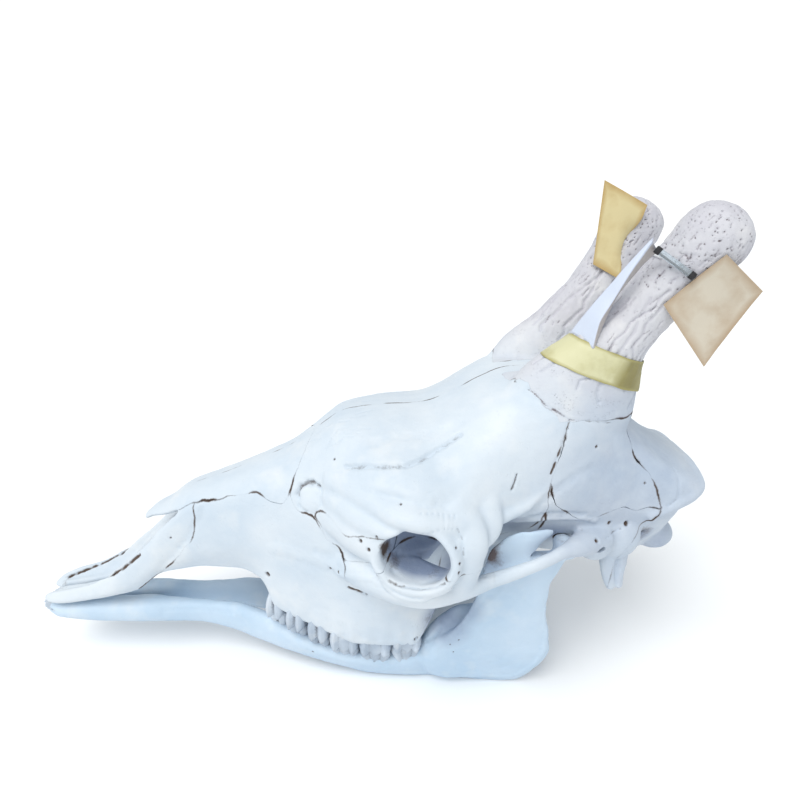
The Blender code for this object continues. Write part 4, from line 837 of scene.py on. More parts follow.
# Seams between the bones, drawn from the side as (x, z) stops, and how far each gapes
seams = dict(
    nasal=[(60, 120), (100, 142), (128, 158), (145, 173), (163, 184), (188, 190), (212, 197),
           (226, 201), (240, 195), (250, 195), (256, 205), (259, 218), (265, 230), (268, 242),
           (272, 275)],
    premaxilla=[(190, 230), (170, 197), (165, 183), (166, 166), (162, 149), (149, 133),
                (131, 112), (114, 97), (100, 86), (96, 60)],
    face=[(269, 275), (266, 236), (259, 219), (256, 204), (263, 192), (277, 191), (283, 184),
          (288, 172), (299, 168),
          (304, 159), (304, 146), (309, 134), (322, 126), (350, 120), (385, 114), (404, 108)],
    crown=[(487, 345), (487, 300), (485, 286), (481, 272), (478, 255), (475, 243), (472, 234)],
    scale=[(472, 234), (480, 212), (500, 196), (513, 192), (530, 198), (546, 203), (556, 196),
           (568, 201), (580, 197)],
    nape=[(580, 197), (576, 207), (571, 220), (562, 233), (549, 246), (545, 263), (546, 345)],
    back=[(580, 197), (571, 187), (561, 172), (551, 158), (547, 140), (543, 100)],
    cheek=[(303, 160), (316, 163), (334, 172), (346, 176), (392, 176), (432, 182), (428, 160),
           (432, 128), (415, 108), (385, 110), (350, 117), (322, 123), (309, 131), (302, 145)],
    tear=[(278, 193), (284, 185), (289, 170), (300, 166), (304, 158), (316, 161), (334, 171),
          (347, 176), (348, 200), (330, 200), (314, 195), (305, 191), (296, 199), (286, 201)],
    temple=[(472, 236), (474, 190), (468, 165), (468, 90), (600, 90), (600, 236)],
    archEnd=[(430, 200), (426, 164), (431, 130), (500, 130), (500, 200)],
    base=[(378, 60), (384, 113), (402, 140), (432, 157), (464, 180), (474, 205), (560, 205),
          (560, 60)],
    horn=[(440, 16), (442, 30), (446, 46), (456, 62), (466, 70), (477, 76), (484, 125),
          (640, 125), (640, 16)],
    hornFloor=[(16, 300), (40, 291), (57, 283), (75, 284), (125, 276)])
seamLook = dict(round=4.0, step=2.4, levelStep=5.0, wander=0.95, tooth=0.45, least=0.10,
                open=dict(horn=1.2, nasal=0.75, premaxilla=0.45, maxilla=0.75, parietal=1.3,
                          occipital=0.8, temporal=0.6, zygomatic=0.6, lacrimal=0.7,
                          sphenoid=0.4))
cutDepths = dict(cheek=64.0, tear=46.0, temple=37.0, archEnd=88.0)


def rounded(outline):  # even points along an outline, its corners rounded, with outward normals
    outline = [np.array(p, float) for p in outline]
    path = []
    for i, here in enumerate(outline):
        before, after = outline[i - 1], outline[(i + 1) % len(outline)]
        back, on = before - here, after - here
        back, on = (v / np.linalg.norm(v) * min(seamLook["round"], 0.42 * np.linalg.norm(v))
                    for v in (back, on))
        for t in (0, 0.25, 0.5, 0.75, 1):
            path.append(here + back * (1 - t) ** 2 + on * t ** 2)
    path = np.array(path)
    closed = np.vstack([path, path[:1]])
    lengths = np.r_[0, np.cumsum(np.linalg.norm(np.diff(closed, axis=0), axis=1))]
    count = max(int(lengths[-1] / seamLook["step"]), 24)
    s = np.linspace(0, lengths[-1], count, endpoint=False)
    points = np.array([np.interp(s, lengths, closed[:, c]) for c in (0, 1)]).T
    run = np.roll(points, -1, axis=0) - np.roll(points, 1, axis=0)
    normal = np.array([run[:, 1], -run[:, 0]]).T
    normal /= np.linalg.norm(normal, axis=1)[:, None]
    area = np.sum(points[:, 0] * np.roll(points[:, 1], -1)
                  - np.roll(points[:, 0], -1) * points[:, 1])
    return points, normal * (1 if area > 0 else -1)


def seamWidth(spots, open_):  # nearly shut in places, gaping in others
    gape = np.clip(softNoise(spots, 17, 21) * 1.3 + 0.25 * softNoise(spots, 4, 22) + 0.05, 0, 1)
    return seamLook["least"] + open_ * gape


def seamBlock(outline, low, high, open_=None, flat="xz", bend=None):
    # a cutter whose wall wanders like a real seam, grown by the seam's width if open_ is given
    points, normal = rounded(outline)
    grow = 0.0 if open_ is None else 0.2
    levels = np.linspace(low - grow, high + grow,
                         max(int((high - low) / seamLook["levelStep"]), 2) + 1)
    rings = []
    for level in levels:
        full = np.full((len(points), 1), level)
        spots = np.hstack([points[:, :1], full, points[:, 1:]]) if flat == "xz" \
            else np.hstack([points, full])
        shift = seamLook["wander"] * softNoise(spots, 6.5, 31) \
            + seamLook["tooth"] * softNoise(spots, 2.6, 32)
        if open_ is not None:
            shift = shift + seamWidth(spots, open_)
        moved = points + normal * shift[:, None]
        if bend is not None:
            moved = moved + np.array([bend(level), 0])
        rings.append(np.hstack([moved[:, :1], full, moved[:, 1:]]) if flat == "xz"
                     else np.hstack([moved, full]))
    return loft("block", rings)


def thickSheet(name, grid, shift):  # a closed body between a wavy sheet and its moved copy
    grid = np.array(grid, float)
    rows, columns = grid.shape[:2]
    size = rows * columns
    points = np.vstack([grid.reshape(-1, 3), grid.reshape(-1, 3) + np.array(shift)])
    faces = []
    for face in gridFaces(rows, columns):
        faces += [face, tuple(k + size for k in reversed(face))]
    rim = [j for j in range(columns)] + [(i + 1) * columns - 1 for i in range(1, rows)] \
        + [(rows - 1) * columns + j for j in range(columns - 2, -1, -1)] \
        + [i * columns for i in range(rows - 2, 0, -1)]
    faces += [(a, b, b + size, a + size) for a, b in zip(rim, rim[1:] + rim[:1])]
    return closedBody(name, points, faces)


def midPlane(side, gap):  # takes away the other side of the head, along a wandering middle line
    xs, zs = np.arange(-60, 702, 3.0), np.arange(-60, 523, 6.0)
    grid = np.array([[(x, 0, z) for z in zs] for x in xs])
    flatGrid = grid.reshape(-1, 3)
    wave = 0.8 * softNoise(flatGrid, 9, 41) + 0.35 * softNoise(flatGrid, 3.5, 42)
    width = 0.5 * gap + 0.25 * np.clip(softNoise(flatGrid, 25, 43), 0, 1)
    flatGrid[:, 1] = wave - side * width
    return thickSheet("middle", flatGrid.reshape(grid.shape), (0, -side * skull["wide"], 0))


def hornFloorBlock(side, gap):
    line = smoothLine(seams["hornFloor"])
    xs, ys = np.arange(425, 660, 3.5), np.arange(8, 133, 3.5) * side
    grid = np.array([[(x, y, line(abs(y))) for y in ys] for x in xs])
    flatGrid = grid.reshape(-1, 3)
    wave = 1.1 * softNoise(flatGrid, 8, 51) + 0.5 * softNoise(flatGrid, 3.6, 52)
    flatGrid[:, 2] += wave - (seamWidth(flatGrid, gap) if gap else 0)
    return thickSheet("floor", flatGrid.reshape(grid.shape), (0, 0, 240))


def partOff(whole, name, inside, grown):
    piece = copyOf(whole, name)
    boolean(piece, inside, "INTERSECT")
    boolean(whole, grown, "DIFFERENCE")
    bpy.data.objects.remove(inside)
    bpy.data.objects.remove(grown)
    return largestShell(piece)


def partByOutline(whole, name, kind, outline, low, high, bend=None):
    return partOff(whole, name, *(seamBlock(outline, low, high, open_, "xz", bend)
                                  for open_ in (None, seamLook["open"][kind])))


def sided(low, high, side):
    return (low, high) if side > 0 else (-high, -low)


def halves(thing, stem):
    right = copyOf(thing, stem + "Right")
    thing.name = stem + "Left"
    for piece, side in ((thing, -1), (right, 1)):
        cutAway(piece, [midPlane(side, 0.2)])
        largestShell(piece)
    return {stem + "Left": thing, stem + "Right": right}


def noseBend(y):  # the seam behind the nasals lies further back in the middle
    return 7.0 * max(0.0, 1 - abs(y) / 32)


def craniumBones(whole):
    bones = {}
    wide = skull["wide"]
    for side, end in ends:
        outline = [(x, y * side) for x, y in seams["horn"]]
        cutters = []
        for open_ in (None, seamLook["open"]["horn"]):
            wall = seamBlock(outline, 255, 500, open_, "xy")
            floor = hornFloorBlock(side, open_ or 0)
            boolean(wall, floor, "INTERSECT")
            bpy.data.objects.remove(floor)
            cutters.append(wall)
        bones["horn" + end] = partOff(whole, "horn" + end, *cutters)
    for stem, line, rest, bend in (
            ("nasal", "nasal", [(60, 275)], noseBend),
            ("premaxilla", "premaxilla", [(-40, 60), (-40, 230)], None),
            ("maxilla", "face", [(404, 30), (60, 30), (60, 275)], None)):
        piece = partByOutline(whole, stem, stem, seams[line] + rest, -wide, wide, bend)
        bones.update(halves(piece, stem))
    outlines = dict(
        parietal=seams["crown"] + seams["scale"][1:] + seams["nape"][1:],
        occipital=seams["nape"][:0:-1] + seams["back"] + [(542, 60), (700, 60), (700, 345)])
    for stem, outline in outlines.items():
        bones[stem] = partByOutline(whole, stem, stem, outline, -wide, wide)
    for side, end in ends:
        cutters = []
        for open_ in (None, seamLook["open"]["temporal"]):
            grow = 0.0 if open_ is None else 0.2
            wall = seamBlock(seams["temple"], *sided(cutDepths["temple"] - grow, wide, side),
                             open_)
            arch = seamBlock(seams["archEnd"], *sided(cutDepths["archEnd"] - grow, wide + 2, side),
                             open_)
            boolean(wall, arch, "UNION")
            bpy.data.objects.remove(arch)
            cutters.append(wall)
        bones["temporal" + end] = partOff(whole, "temporal" + end, *cutters)
        for stem, line in (("zygomatic", "cheek"), ("lacrimal", "tear")):
            low, high = sided(cutDepths[line], wide, side)
            bones[stem + end] = partByOutline(whole, stem + end, stem, seams[line], low, high)
    bones["sphenoid"] = partByOutline(whole, "sphenoid", "sphenoid", seams["base"], -wide, wide)
    largestShell(whole)
    bones.update(halves(whole, "frontal"))
    return bones


# Lower jaw

jaw = dict(
    yLow=[(4, 9), (17, 10), (54, 12), (82, 12), (105, 12.5), (125, 13), (155, 14.5), (192, 18),
          (213, 22), (239, 30), (262, 35), (302, 42), (370, 50), (440, 61), (491, 68)],
    yTop=[(4, 9), (17, 10), (54, 12), (82, 12), (105, 12.5), (125, 13), (155, 14.5), (192, 19),
          (213, 23), (239, 34), (262, 44), (302, 54), (370, 61), (440, 68), (491, 72)],
    half=[(4, 6), (17, 11), (54, 11.8), (82, 11.8), (105, 11.5), (125, 9), (155, 7), (213, 8.5),
          (262, 11.5), (330, 12), (400, 10), (450, 7), (491, 4)],
    low=[(4, 51), (17, 46), (54, 42), (82, 40.5), (105, 39.5), (125, 38.5), (155, 37.5),
         (192, 28), (213, 20), (239, 16), (262, 12), (302, 4), (325, -1), (370, -2), (440, -2),
         (466, 1), (482, 12), (491, 32)],
    top=[(4, 58), (17, 61), (54, 64.5), (82, 64.5), (105, 66), (125, 64.5), (155, 62.5),
         (192, 62), (213, 57), (239, 50.5), (262, 45), (302, 37), (330, 36), (366, 40), (374, 50),
         (381, 66), (393, 83), (410, 96), (440, 100), (470, 80), (491, 60)],
    ramus=[(10, 384, 476, 64), (24, 378, 488, 68), (38, 374, 494, 71), (48, 380, 496, 73),
           (58, 384, 494, 74), (75, 400, 490, 77), (104, 414, 484, 81), (130, 421, 484, 84),
           (147, 431, 490, 84), (164, 450, 499, 82)],
    ramusHalf=5.0,
    coronoid=[(442, 86, 128, 20, 4), (441, 88, 150, 19, 3.6), (444, 89, 165, 20, 3.2),
              (449, 89, 178, 13, 2.8), (455, 89, 186, 8, 2.2), (458, 89, 190, 4, 1.6)],
    coronoidTip=[(446, 88, 170, 16, 3.2), (458, 88.5, 179, 12, 3), (470, 87.5, 186, 6, 2.6),
                 (477, 86.5, 188, 4, 2), (480, 86, 188, 2.5, 1.6)],
    knob=dict(x=495, y=77, z=167, size=(10, 16, 8)), steps=130, sides=44)
jawMarks = dict(
    grooves=[
        ([(404, 78, 79), (412, 80, 96), (424, 84, 118), (436, 86, 136)], 7, 0.8),
        ([(398, 76, 46), (420, 79, 30), (450, 78, 22)], 12, 0.9),
        ([(360, 70, 40), (352, 70, 30), (338, 68, 24)], 5, 0.5),
        ([(376, 71, 58), (384, 73, 66), (390, 74, 74)], 3, 1.0),
        ([(120, 27, 58), (150, 31, 60), (185, 35, 56)], 4, 0.5)],
    ridges=[
        ([(389, 74, 63), (398, 77, 76), (408, 79, 92), (417, 82, 108), (426, 85, 126)], 4, 1.0),
        ([(470, 76, 12), (484, 76, 30), (490, 77, 52), (488, 79, 78), (483, 82, 104)], 5, 1.0),
        ([(400, 70, 6), (430, 72, 5), (462, 72, 8)], 5, 0.8)],
    pits=[(400, 77, 62, 1.3, 1.1),
          (404, 77, 52, 1.2, 1.0), (408, 78, 68, 1.2, 1.0), (330, 66, 30, 1.4, 1.2),
          (270, 56, 32, 1.3, 1.2)])


def jawHalf(side):
    yLow, yTop, half, low, top = linesOf(jaw, "yLow yTop half low top")
    rings = []
    for x in stations(jaw["low"], jaw["steps"]):
        yl, yt, h, zl, zt = yLow(x), yTop(x), half(x), low(x), top(x)
        tall = zt - zl
        ring = [(yl, zl), (yl + 0.8 * h, zl + 0.14 * tall), (0.5 * (yl + yt) + h, zl + 0.5 * tall),
                (yt + 0.8 * h, zt - 0.14 * tall), (yt, zt), (yt - 0.8 * h, zt - 0.14 * tall),
                (0.5 * (yl + yt) - h, zl + 0.5 * tall), (yl - 0.8 * h, zl + 0.14 * tall)]
        rings.append([(x, y * side, z) for y, z in closedCurve(ring, jaw["sides"])])
    bodies = [loft("jaw", rings)]
    levels = np.array(jaw["ramus"], float)
    rings = []
    for z in np.linspace(levels[0, 0], levels[-1, 0], 50):
        front, back, y = (smoothLine(list(zip(levels[:, 0], levels[:, c])))(z) for c in (1, 2, 3))
        t = jaw["ramusHalf"]
        ring = [(front, y), (front + 14, y - t), (0.5 * (front + back), y - t), (back - 8, y - t),
                (back, y), (back - 8, y + t), (0.5 * (front + back), y + t), (front + 14, y + t)]
        rings.append([(x, w * side, z) for x, w in closedCurve(ring, 56)])
    bodies.append(loft("ramus", rings))
    bodies.append(bar("coronoid", jaw["coronoid"], side, steps=30, reference=(1, 0, 0)))
    bodies.append(bar("coronoidTip", jaw["coronoidTip"], side, steps=24))
    knob = jaw["knob"]
    bodies.append(ball("knob", (knob["x"], knob["y"] * side, knob["z"]), knob["size"]))
    whole = fused(joined("jaw", bodies), skull["roughVoxel"])
    fused(whole, skull["fineVoxel"], skull["jawSoften"])
    places, normals = vertexArrays(whole.data)
    out, dirtAndShade = markSkin(places, jawMarks, (side,))
    out += waves(places, skinWaves["jaw"])
    withRelief(whole, places + normals * out[:, None], np.maximum(dirtAndShade, grimeAndShadeOn(places)))
    cutAway(whole, [midPlane(side, 0.3)])
    largestShell(whole)
    places, _ = vertexArrays(whole.data)
    places[:, 2] = np.maximum(places[:, 2], skull["floorGap"])  # lies flat on the floor
    setPlaces(whole.data, places)
    return whole


def knobHollow(side):
    knob = jaw["knob"]
    size = [s + 0.5 for s in knob["size"]]
    return ball("knobHollow", (knob["x"], knob["y"] * side, knob["z"]), size)


# Dirt, seams and painted shade in hollows and dim places, kept as values on each bone for its
# material

ageing = dict(seamReach=1.15, patchLength=12, patchLeast=0.06, hollowSteps=5, hollowGain=1.6,
              sharpAngle=48)


def ageBone(thing, isJaw):
    mesh = thing.data
    places, normals = vertexArrays(mesh)
    skin = getValues(mesh, "skin")
    walls = np.nonzero(skin < 0.5)[0]
    seam = np.zeros(len(places))
    if len(walls):
        tree = KDTree(len(walls))
        for i, point in enumerate(places[walls]):
            tree.insert(point, i)
        tree.balance()
        reach = np.array([tree.find(point)[2] for point in places])
        patchy = np.clip(0.42 + 1.1 * softNoise(places, ageing["patchLength"], 71),
                         ageing["patchLeast"], 1)
        seam = np.exp(-(reach / ageing["seamReach"]) ** 2) * patchy
    edges = edgeArray(mesh)
    count = np.bincount(edges.ravel(), minlength=len(places)).astype(float)
    smooth = places.copy()
    for _ in range(ageing["hollowSteps"]):
        total = np.zeros_like(smooth)
        for c in range(3):
            total[:, c] = (np.bincount(edges[:, 0], smooth[edges[:, 1], c], len(places))
                           + np.bincount(edges[:, 1], smooth[edges[:, 0], c], len(places)))
        smooth = total / np.maximum(count, 1)[:, None]
    # how deep each point lies in a hollow, for the painted shade there
    hollow = ((smooth - places) * normals).sum(axis=1)
    setValues(mesh, "stainshade", np.clip(np.maximum(seam, getValues(mesh, "dirtAndShade")), 0, 1))
    setValues(mesh, "hollow", np.clip(hollow * ageing["hollowGain"], -1, 1))
    # painted shade where the light hardly reaches, and inside the eye sockets
    shade = gloomOn(places, jawGloom if isJaw else gloom)
    setValues(mesh, "gloom", shade if isJaw else np.maximum(shade, socketGloom(places)))
    for name in ("skin", "dirtAndShade"):
        layer = mesh.attributes.get(name)
        if layer:
            mesh.attributes.remove(layer)
    mesh.shade_smooth()
    mesh.set_sharp_from_angle(angle=math.radians(ageing["sharpAngle"]))


# Teeth: two shapes set along each row by a node tree

cheekShape = dict(  # rings of (height, size, darkness), down the crown and in over the biting face
    crown=[(0.5, 0.60, 0.3), (0.32, 0.74, 0.5), (0.14, 0.88, 0.6), (-0.05, 0.97, 0.5),
           (-0.22, 1.0, 0.42), (-0.34, 0.98, 0.4), (-0.42, 0.95, 0.3)],
    bite=[(-0.45, 0.82, 0.1), (-0.37, 0.66, 0.5), (-0.34, 0.50, 0.8), (-0.40, 0.34, 0.3),
          (-0.36, 0.16, 0.7)],
    around=96, blunt=0.36, ribDepth=0.15, innerDepth=0.16, cusp=0.16, biteCusp=0.8)
frontShape = dict(around=28, bend=0.10, rings=[  # (place along it, width, thickness)
    (0, 0.42, 0.5), (0.2, 0.5, 0.48), (0.45, 0.68, 0.42), (0.65, 0.9, 0.34), (0.82, 1.0, 0.24),
    (0.94, 0.92, 0.14), (1.0, 0.7, 0.06)])


def unitShape(name, rings):
    thing = loft(name, np.array(rings) / mm + origin)
    thing.data.shade_smooth()
    return thing


def toothShape(name, ribs):  # a cheek tooth in a unit box, crown down at -z, outer face at -y
    spec = cheekShape
    angles = np.linspace(0, 2 * math.pi, spec["around"], endpoint=False)
    x, y = (np.sign(way) * np.abs(way) ** spec["blunt"] * 0.5
            for way in (np.cos(angles), np.sin(angles)))
    wave = np.abs(np.sin(math.pi * (x + 0.5) * ribs))  # 1 on a rib's middle, 0 between ribs
    outerFace = np.clip(-np.sin(angles) * 1.6, 0, 1)
    innerFace = np.clip(np.sin(angles) * 1.6, 0, 1)
    y = y + outerFace * (spec["ribDepth"] * (1 - wave) ** 1.6
                         - 0.03 * np.exp(-((wave - 1) / 0.08) ** 2))
    y = y - innerFace * spec["innerDepth"] * (1 - wave) ** 1.3
    # painted shade in the creases between the lobes, and at the tooth's ends where it meets its
    # neighbours
    between = outerFace * (1 - wave) ** 2.5 + np.clip(np.abs(x) * 2 - 0.9, 0, 1) * 5
    rings, stainAndShade = [], []
    for height, size, dark in spec["crown"]:
        drop = np.clip((0.1 - height) / 0.5, 0, 1) * spec["cusp"] * (wave - 0.5)
        rings.append(np.array([x * size, y * size, height - drop]).T)
        stainAndShade.append(np.clip(between * dark * 1.5, 0, 0.95))
    for height, size, dark in spec["bite"]:
        drop = spec["cusp"] * spec["biteCusp"] * (wave - 0.5) * size
        rings.append(np.array([x * size, y * size, height - drop]).T)
        stainAndShade.append(np.full(len(x), dark))
    thing = unitShape(name, rings)
    setValues(thing.data, "stainshade", np.concatenate(stainAndShade))
    return thing


def incisorShape(name):  # a spade-shaped front tooth, root at the origin, crown along +x
    angles = np.linspace(0, 2 * math.pi, frontShape["around"], endpoint=False)
    return unitShape(name, [
        np.array([np.full(len(angles), t), np.cos(angles) * wide * 0.5,
                  np.sin(angles) * thick * 0.5 + frontShape["bend"] * np.cos(angles) ** 2 * t]).T
        for t, wide, thick in frontShape["rings"]])


def toothTree():  # sets a tooth shape on each point of a row, sized and turned by the points
    tree = bpy.data.node_groups.new("toothRow", "GeometryNodeTree")
    for label, kind in (("Geometry", "Geometry"), ("Narrow tooth", "Object"),
                        ("Wide tooth", "Object"), ("Size change", "Float"), ("Lean", "Float"),
                        ("Seed", "Int"), ("Material", "Material")):
        tree.interface.new_socket(label, in_out="INPUT", socket_type="NodeSocket" + kind)
    tree.interface.new_socket("Geometry", in_out="OUTPUT", socket_type="NodeSocketGeometry")
    nodes, links = tree.nodes, tree.links
    start, end = nodes.new("NodeGroupInput"), nodes.new("NodeGroupOutput")

    def named(kind, name):
        node = nodes.new("GeometryNodeInputNamedAttribute")
        node.data_type = kind
        node.inputs["Name"].default_value = name
        return node.outputs["Attribute"]

    def vectorMath(operation, first, second):
        node = nodes.new("ShaderNodeVectorMath")
        node.operation = operation
        links.new(first, node.inputs[0])
        links.new(second, node.inputs["Scale" if operation == "SCALE" else 1])
        return node

    shapes = nodes.new("GeometryNodeGeometryToInstance")
    for name in ("Wide tooth", "Narrow tooth"):
        info = nodes.new("GeometryNodeObjectInfo")
        info.transform_space = "ORIGINAL"
        links.new(start.outputs[name], info.inputs["Object"])
        links.new(info.outputs["Geometry"], shapes.inputs[0])
    place = nodes.new("GeometryNodeInstanceOnPoints")
    place.inputs["Pick Instance"].default_value = True
    wobble = nodes.new("FunctionNodeRandomValue")
    wobble.data_type = "FLOAT_VECTOR"
    wobble.inputs[0].default_value = (-1, -1, -1)
    wobble.inputs[1].default_value = (1, 1, 1)
    links.new(start.outputs["Seed"], wobble.inputs["Seed"])
    lean = vectorMath("SCALE", wobble.outputs[0], start.outputs["Lean"])
    turn = vectorMath("ADD", named("FLOAT_VECTOR", "toothTurn"), lean.outputs[0])
    change = vectorMath("MULTIPLY_ADD", wobble.outputs[0], start.outputs["Size change"])
    change.inputs[2].default_value = (1, 1, 1)
    size = vectorMath("MULTIPLY", named("FLOAT_VECTOR", "toothSize"), change.outputs[0])
    real = nodes.new("GeometryNodeRealizeInstances")
    coat = nodes.new("GeometryNodeSetMaterial")
    for source, target in ((start.outputs["Geometry"], place.inputs["Points"]),
                           (shapes.outputs[0], place.inputs["Instance"]),
                           (named("INT", "toothKind"), place.inputs["Instance Index"]),
                           (turn.outputs[0], place.inputs["Rotation"]),
                           (size.outputs[0], place.inputs["Scale"]),
                           (place.outputs[0], real.inputs[0]),
                           (real.outputs[0], coat.inputs["Geometry"]),
                           (start.outputs["Material"], coat.inputs["Material"]),
                           (coat.outputs[0], end.inputs[0])):
        links.new(source, target)
    return tree


def toothRow(name, tree, shapes, places, sizes, turns, kinds, material, seed):
    row = meshObject(name, places, [])
    for label, kind, field, values in (
            ("toothSize", "FLOAT_VECTOR", "vector", np.array(sizes) * mm),
            ("toothTurn", "FLOAT_VECTOR", "vector", turns), ("toothKind", "INT", "value", kinds)):
        layer = row.data.attributes.new(label, kind, "POINT")
        layer.data.foreach_set(field, np.array(values).ravel())
    step = row.modifiers.new("teeth", "NODES")
    step.node_group = tree
    values = {"Narrow tooth": shapes[0], "Wide tooth": shapes[1], "Seed": seed,
              "Size change": teeth["sizeChange"], "Lean": teeth["lean"], "Material": material}
    for socket_ in tree.interface.items_tree:
        if socket_.in_out == "INPUT" and socket_.name in values:
            step[socket_.identifier] = values[socket_.name]
    return applied(row)


def cheekRow(side, end, upper, tree, shapes, material):
    half, lowerHalf, gum, tip = linesOf(teeth, "half lowerHalf gum tip")
    jawTop = smoothLine(jaw["top"])
    places, sizes, turns, kinds = [], [], [], []
    for front, back, lobes in cheekTeeth():
        middle = 0.5 * (front + back)
        if upper:
            rootZ, tipZ = gum(middle) + teeth["root"], tip(middle)
            outer, depth = half(middle) + teeth["sidestep"], teeth["upperDepth"]
        else:
            rootZ, tipZ = jawTop(middle) - teeth["root"], tip(middle) - teeth["biteGap"]
            outer, depth = lowerHalf(middle), teeth["lowerDepth"]
        slope = math.atan2(half(back) - half(front), back - front) * side
        facing = 0.0 if (side < 0) == upper else math.pi
        places.append((middle, (outer - depth * 0.5) * side, 0.5 * (rootZ + tipZ)))
        sizes.append((back - front - teeth["gap"], depth, abs(rootZ - tipZ) * 1.04))
        turns.append((0.0 if upper else math.pi, 0.0, slope + facing))  # lower: crown up
        kinds.append(0 if lobes == 1 else 1)
    return toothRow(("upper" if upper else "lower") + "Teeth" + end, tree, shapes, places, sizes,
                    turns, kinds, material, teeth["seed"] + side + 5 * upper)


frontTeeth = dict(count=4, first=10, between=24, x=14, z=54, alongOut=7, sideOut=9, spread=2,
                  length=11.5, wide=7.0, thick=5.0, rise=4.0, seed=31)


def frontRow(side, end, tree, shapes, material):
    spec = frontTeeth
    places, sizes, turns = [], [], []
    for k in range(spec["count"]):
        angle = math.radians(spec["first"] + spec["between"] * k)
        outX, outY = -math.cos(angle), math.sin(angle) * side
        places.append((spec["x"] + outX * spec["alongOut"],
                       outY * spec["sideOut"] + spec["spread"] * side, spec["z"]))
        length = spec["length"] - k
        sizes.append((length, spec["wide"], spec["thick"]))
        turns.append((0.0, -math.atan2(spec["rise"] - 0.5 * k, length), math.atan2(outY, outX)))
    return toothRow("frontTeeth" + end, tree, shapes, places, sizes, turns, [0] * spec["count"],
                    material, spec["seed"] + side)


# Things tied to the horns

band = dict(low=(500.5, 318), high=(510, 341), slope=-19, thick=0.45, off=0.55, around=150, up=16,
            crumple=0.5, wrinkle=0.25, lap=12, lapLift=0.5, ragged=0.55)
slip = dict(rows=[((487.2, -43.3, 348.5), (497.6, -68.6, 342.3), (499, -68.4, 343.5)),
                  ((496.5, -52, 369.5), (499, -70, 361.5), (503, -66, 356)),
                  ((507, -60, 390), (507.5, -71, 381.5), (512, -64, 381)),
                  ((517, -67, 408.5), (516, -73, 402), (526, -64, 402.5)),
                  ((528, -73, 426), (527.5, -74, 423), (534.5, -70, 416))],
            thick=0.35, up=48, across=26, foldAt=0.6, bulge=1.2, ripple=0.35)
beigeTag = dict(corners=[(541, -79.5, 379), (571, -94.5, 417), (604, -93, 392), (579, -84, 333)],
                bow=1.5, thick=0.5, steps=44, ripple=0.35)
yellowTag = dict(corners=[(530, 37, 393), (553, 29, 381), (573, 40, 445), (532, 42, 465)],
                 bow=1.5, thick=0.5, steps=44, ripple=0.5, curl=7.0, pull=7.0)
tube = dict(front=(531.5, -75, 417.5), back=(554.5, -87, 401), radius=2.5, cord=0.675,
            cordLow=(0.35, -0.75, -1.35), capRadius=2.9,
            cap=[(-1.6, 0.72), (-1.3, 0.96), (0.4, 1.0), (2.5, 0.97), (2.8, 0.8)])
thread = dict(at=(543, 409.2), slope=-35.6, radius=0.55, strands=2, twist=46, off=0.7, around=220,
              arc=(268, 566), lift=0.35, close=0.8)


def gridSheet(name, grid, thick):  # a thin sheet thickened to both sides of a grid of points
    grid = np.array(grid, float)
    rows, columns = grid.shape[:2]
    thing = meshObject(name, grid.reshape(-1, 3), gridFaces(rows, columns))
    layer = thing.data.uv_layers.new(name="sheetMap")
    uv = np.array([(j / (columns - 1), i / (rows - 1)) for i in range(rows)
                   for j in range(columns)])
    loops = np.empty(len(thing.data.loops), np.int32)
    thing.data.loops.foreach_get("vertex_index", loops)
    layer.data.foreach_set("uv", uv[loops].ravel())
    wall = thing.modifiers.new("thickness", "SOLIDIFY")
    wall.thickness = thick * mm
    wall.offset = 0.0
    applied(thing)
    thing.data.shade_smooth()
    thing.data.set_sharp_from_angle(angle=math.radians(60))
    return thing


def tilted(slope):  # the directions along and across a ring that slopes by this angle
    turn = math.radians(slope)
    return (np.array([math.cos(turn), 0, math.sin(turn)]),
            np.array([-math.sin(turn), 0, math.cos(turn)]))


def ringSpots(skin, at, slope, width, around, up):  # rings of points on a horn, square to it
    outside, missed = 70, 24  # where a ray starts, and how far out a point lies if it misses
    centres = alongRows(uprightBars["horn"], 120)[:, :3] * np.array([1, -1, 1])
    run, rise = tilted(slope)
    across = np.array([0.0, 1.0, 0.0])
    out = []
    for v in np.linspace(-0.5, 0.5, up):
        level = np.array([at[0], 0, at[1]]) + rise * width * v
        centre = centres[np.argmin(np.abs((centres - level) @ rise))]
        ring = []
        for k in range(around):
            a = 2 * math.pi * k / around
            way = run * math.cos(a) + across * math.sin(a)
            # inwards, so that the outermost skin is met
            hit = skin.ray_cast(Vector(toWorld(centre + way * outside)), Vector(-way))[0]
            ring.append((centre + way * missed if hit is None else np.array(hit) / mm + origin,
                         way))
        out.append(ring)
    return out


def tapeBand(skin):
    low, high = np.array(band["low"]), np.array(band["high"])
    rings = ringSpots(skin, (low + high) / 2, band["slope"], float(np.linalg.norm(high - low)),
                      band["around"], band["up"])
    grid = []
    for i, ring in enumerate(rings):
        spots = np.array([spot for spot, _ in ring])
        ways = np.array([way for _, way in ring])
        radius = ((spots - spots.mean(axis=0)) * ways).sum(axis=1)
        tight = radius.copy()
        for _ in range(10):  # tape bridges the hollows of the bone
            tight = np.maximum(radius, 0.5 * (np.roll(tight, 1) + np.roll(tight, -1)))
        folds = np.abs(softNoise(spots * np.array([1, 1, 0.35]), 5.5, 81))
        lift = band["off"] + band["crumple"] * (1 - folds) ** 3 \
            + band["wrinkle"] * softNoise(spots, 3.2, 82) ** 2
        past = np.arange(len(spots)) - (len(spots) - band["lap"])  # its end lies over its start
        overlap = np.clip(past / 3.0, 0, 1) * band["lapLift"]
        moved = spots + ways * (tight - radius + lift + overlap)[:, None]
        if i in (0, len(rings) - 1):
            moved[:, 2] += band["ragged"] * softNoise(spots * np.array([1, 1, 0]) + i * 0.02, 9, 83)
        grid.append(moved)
    grid = np.array(grid)
    grid = np.concatenate([grid, grid[:, :1] + (grid[:, :1] - grid[:, 1:2]) * 0.02], axis=1)
    return gridSheet("tapeBand", grid, band["thick"])


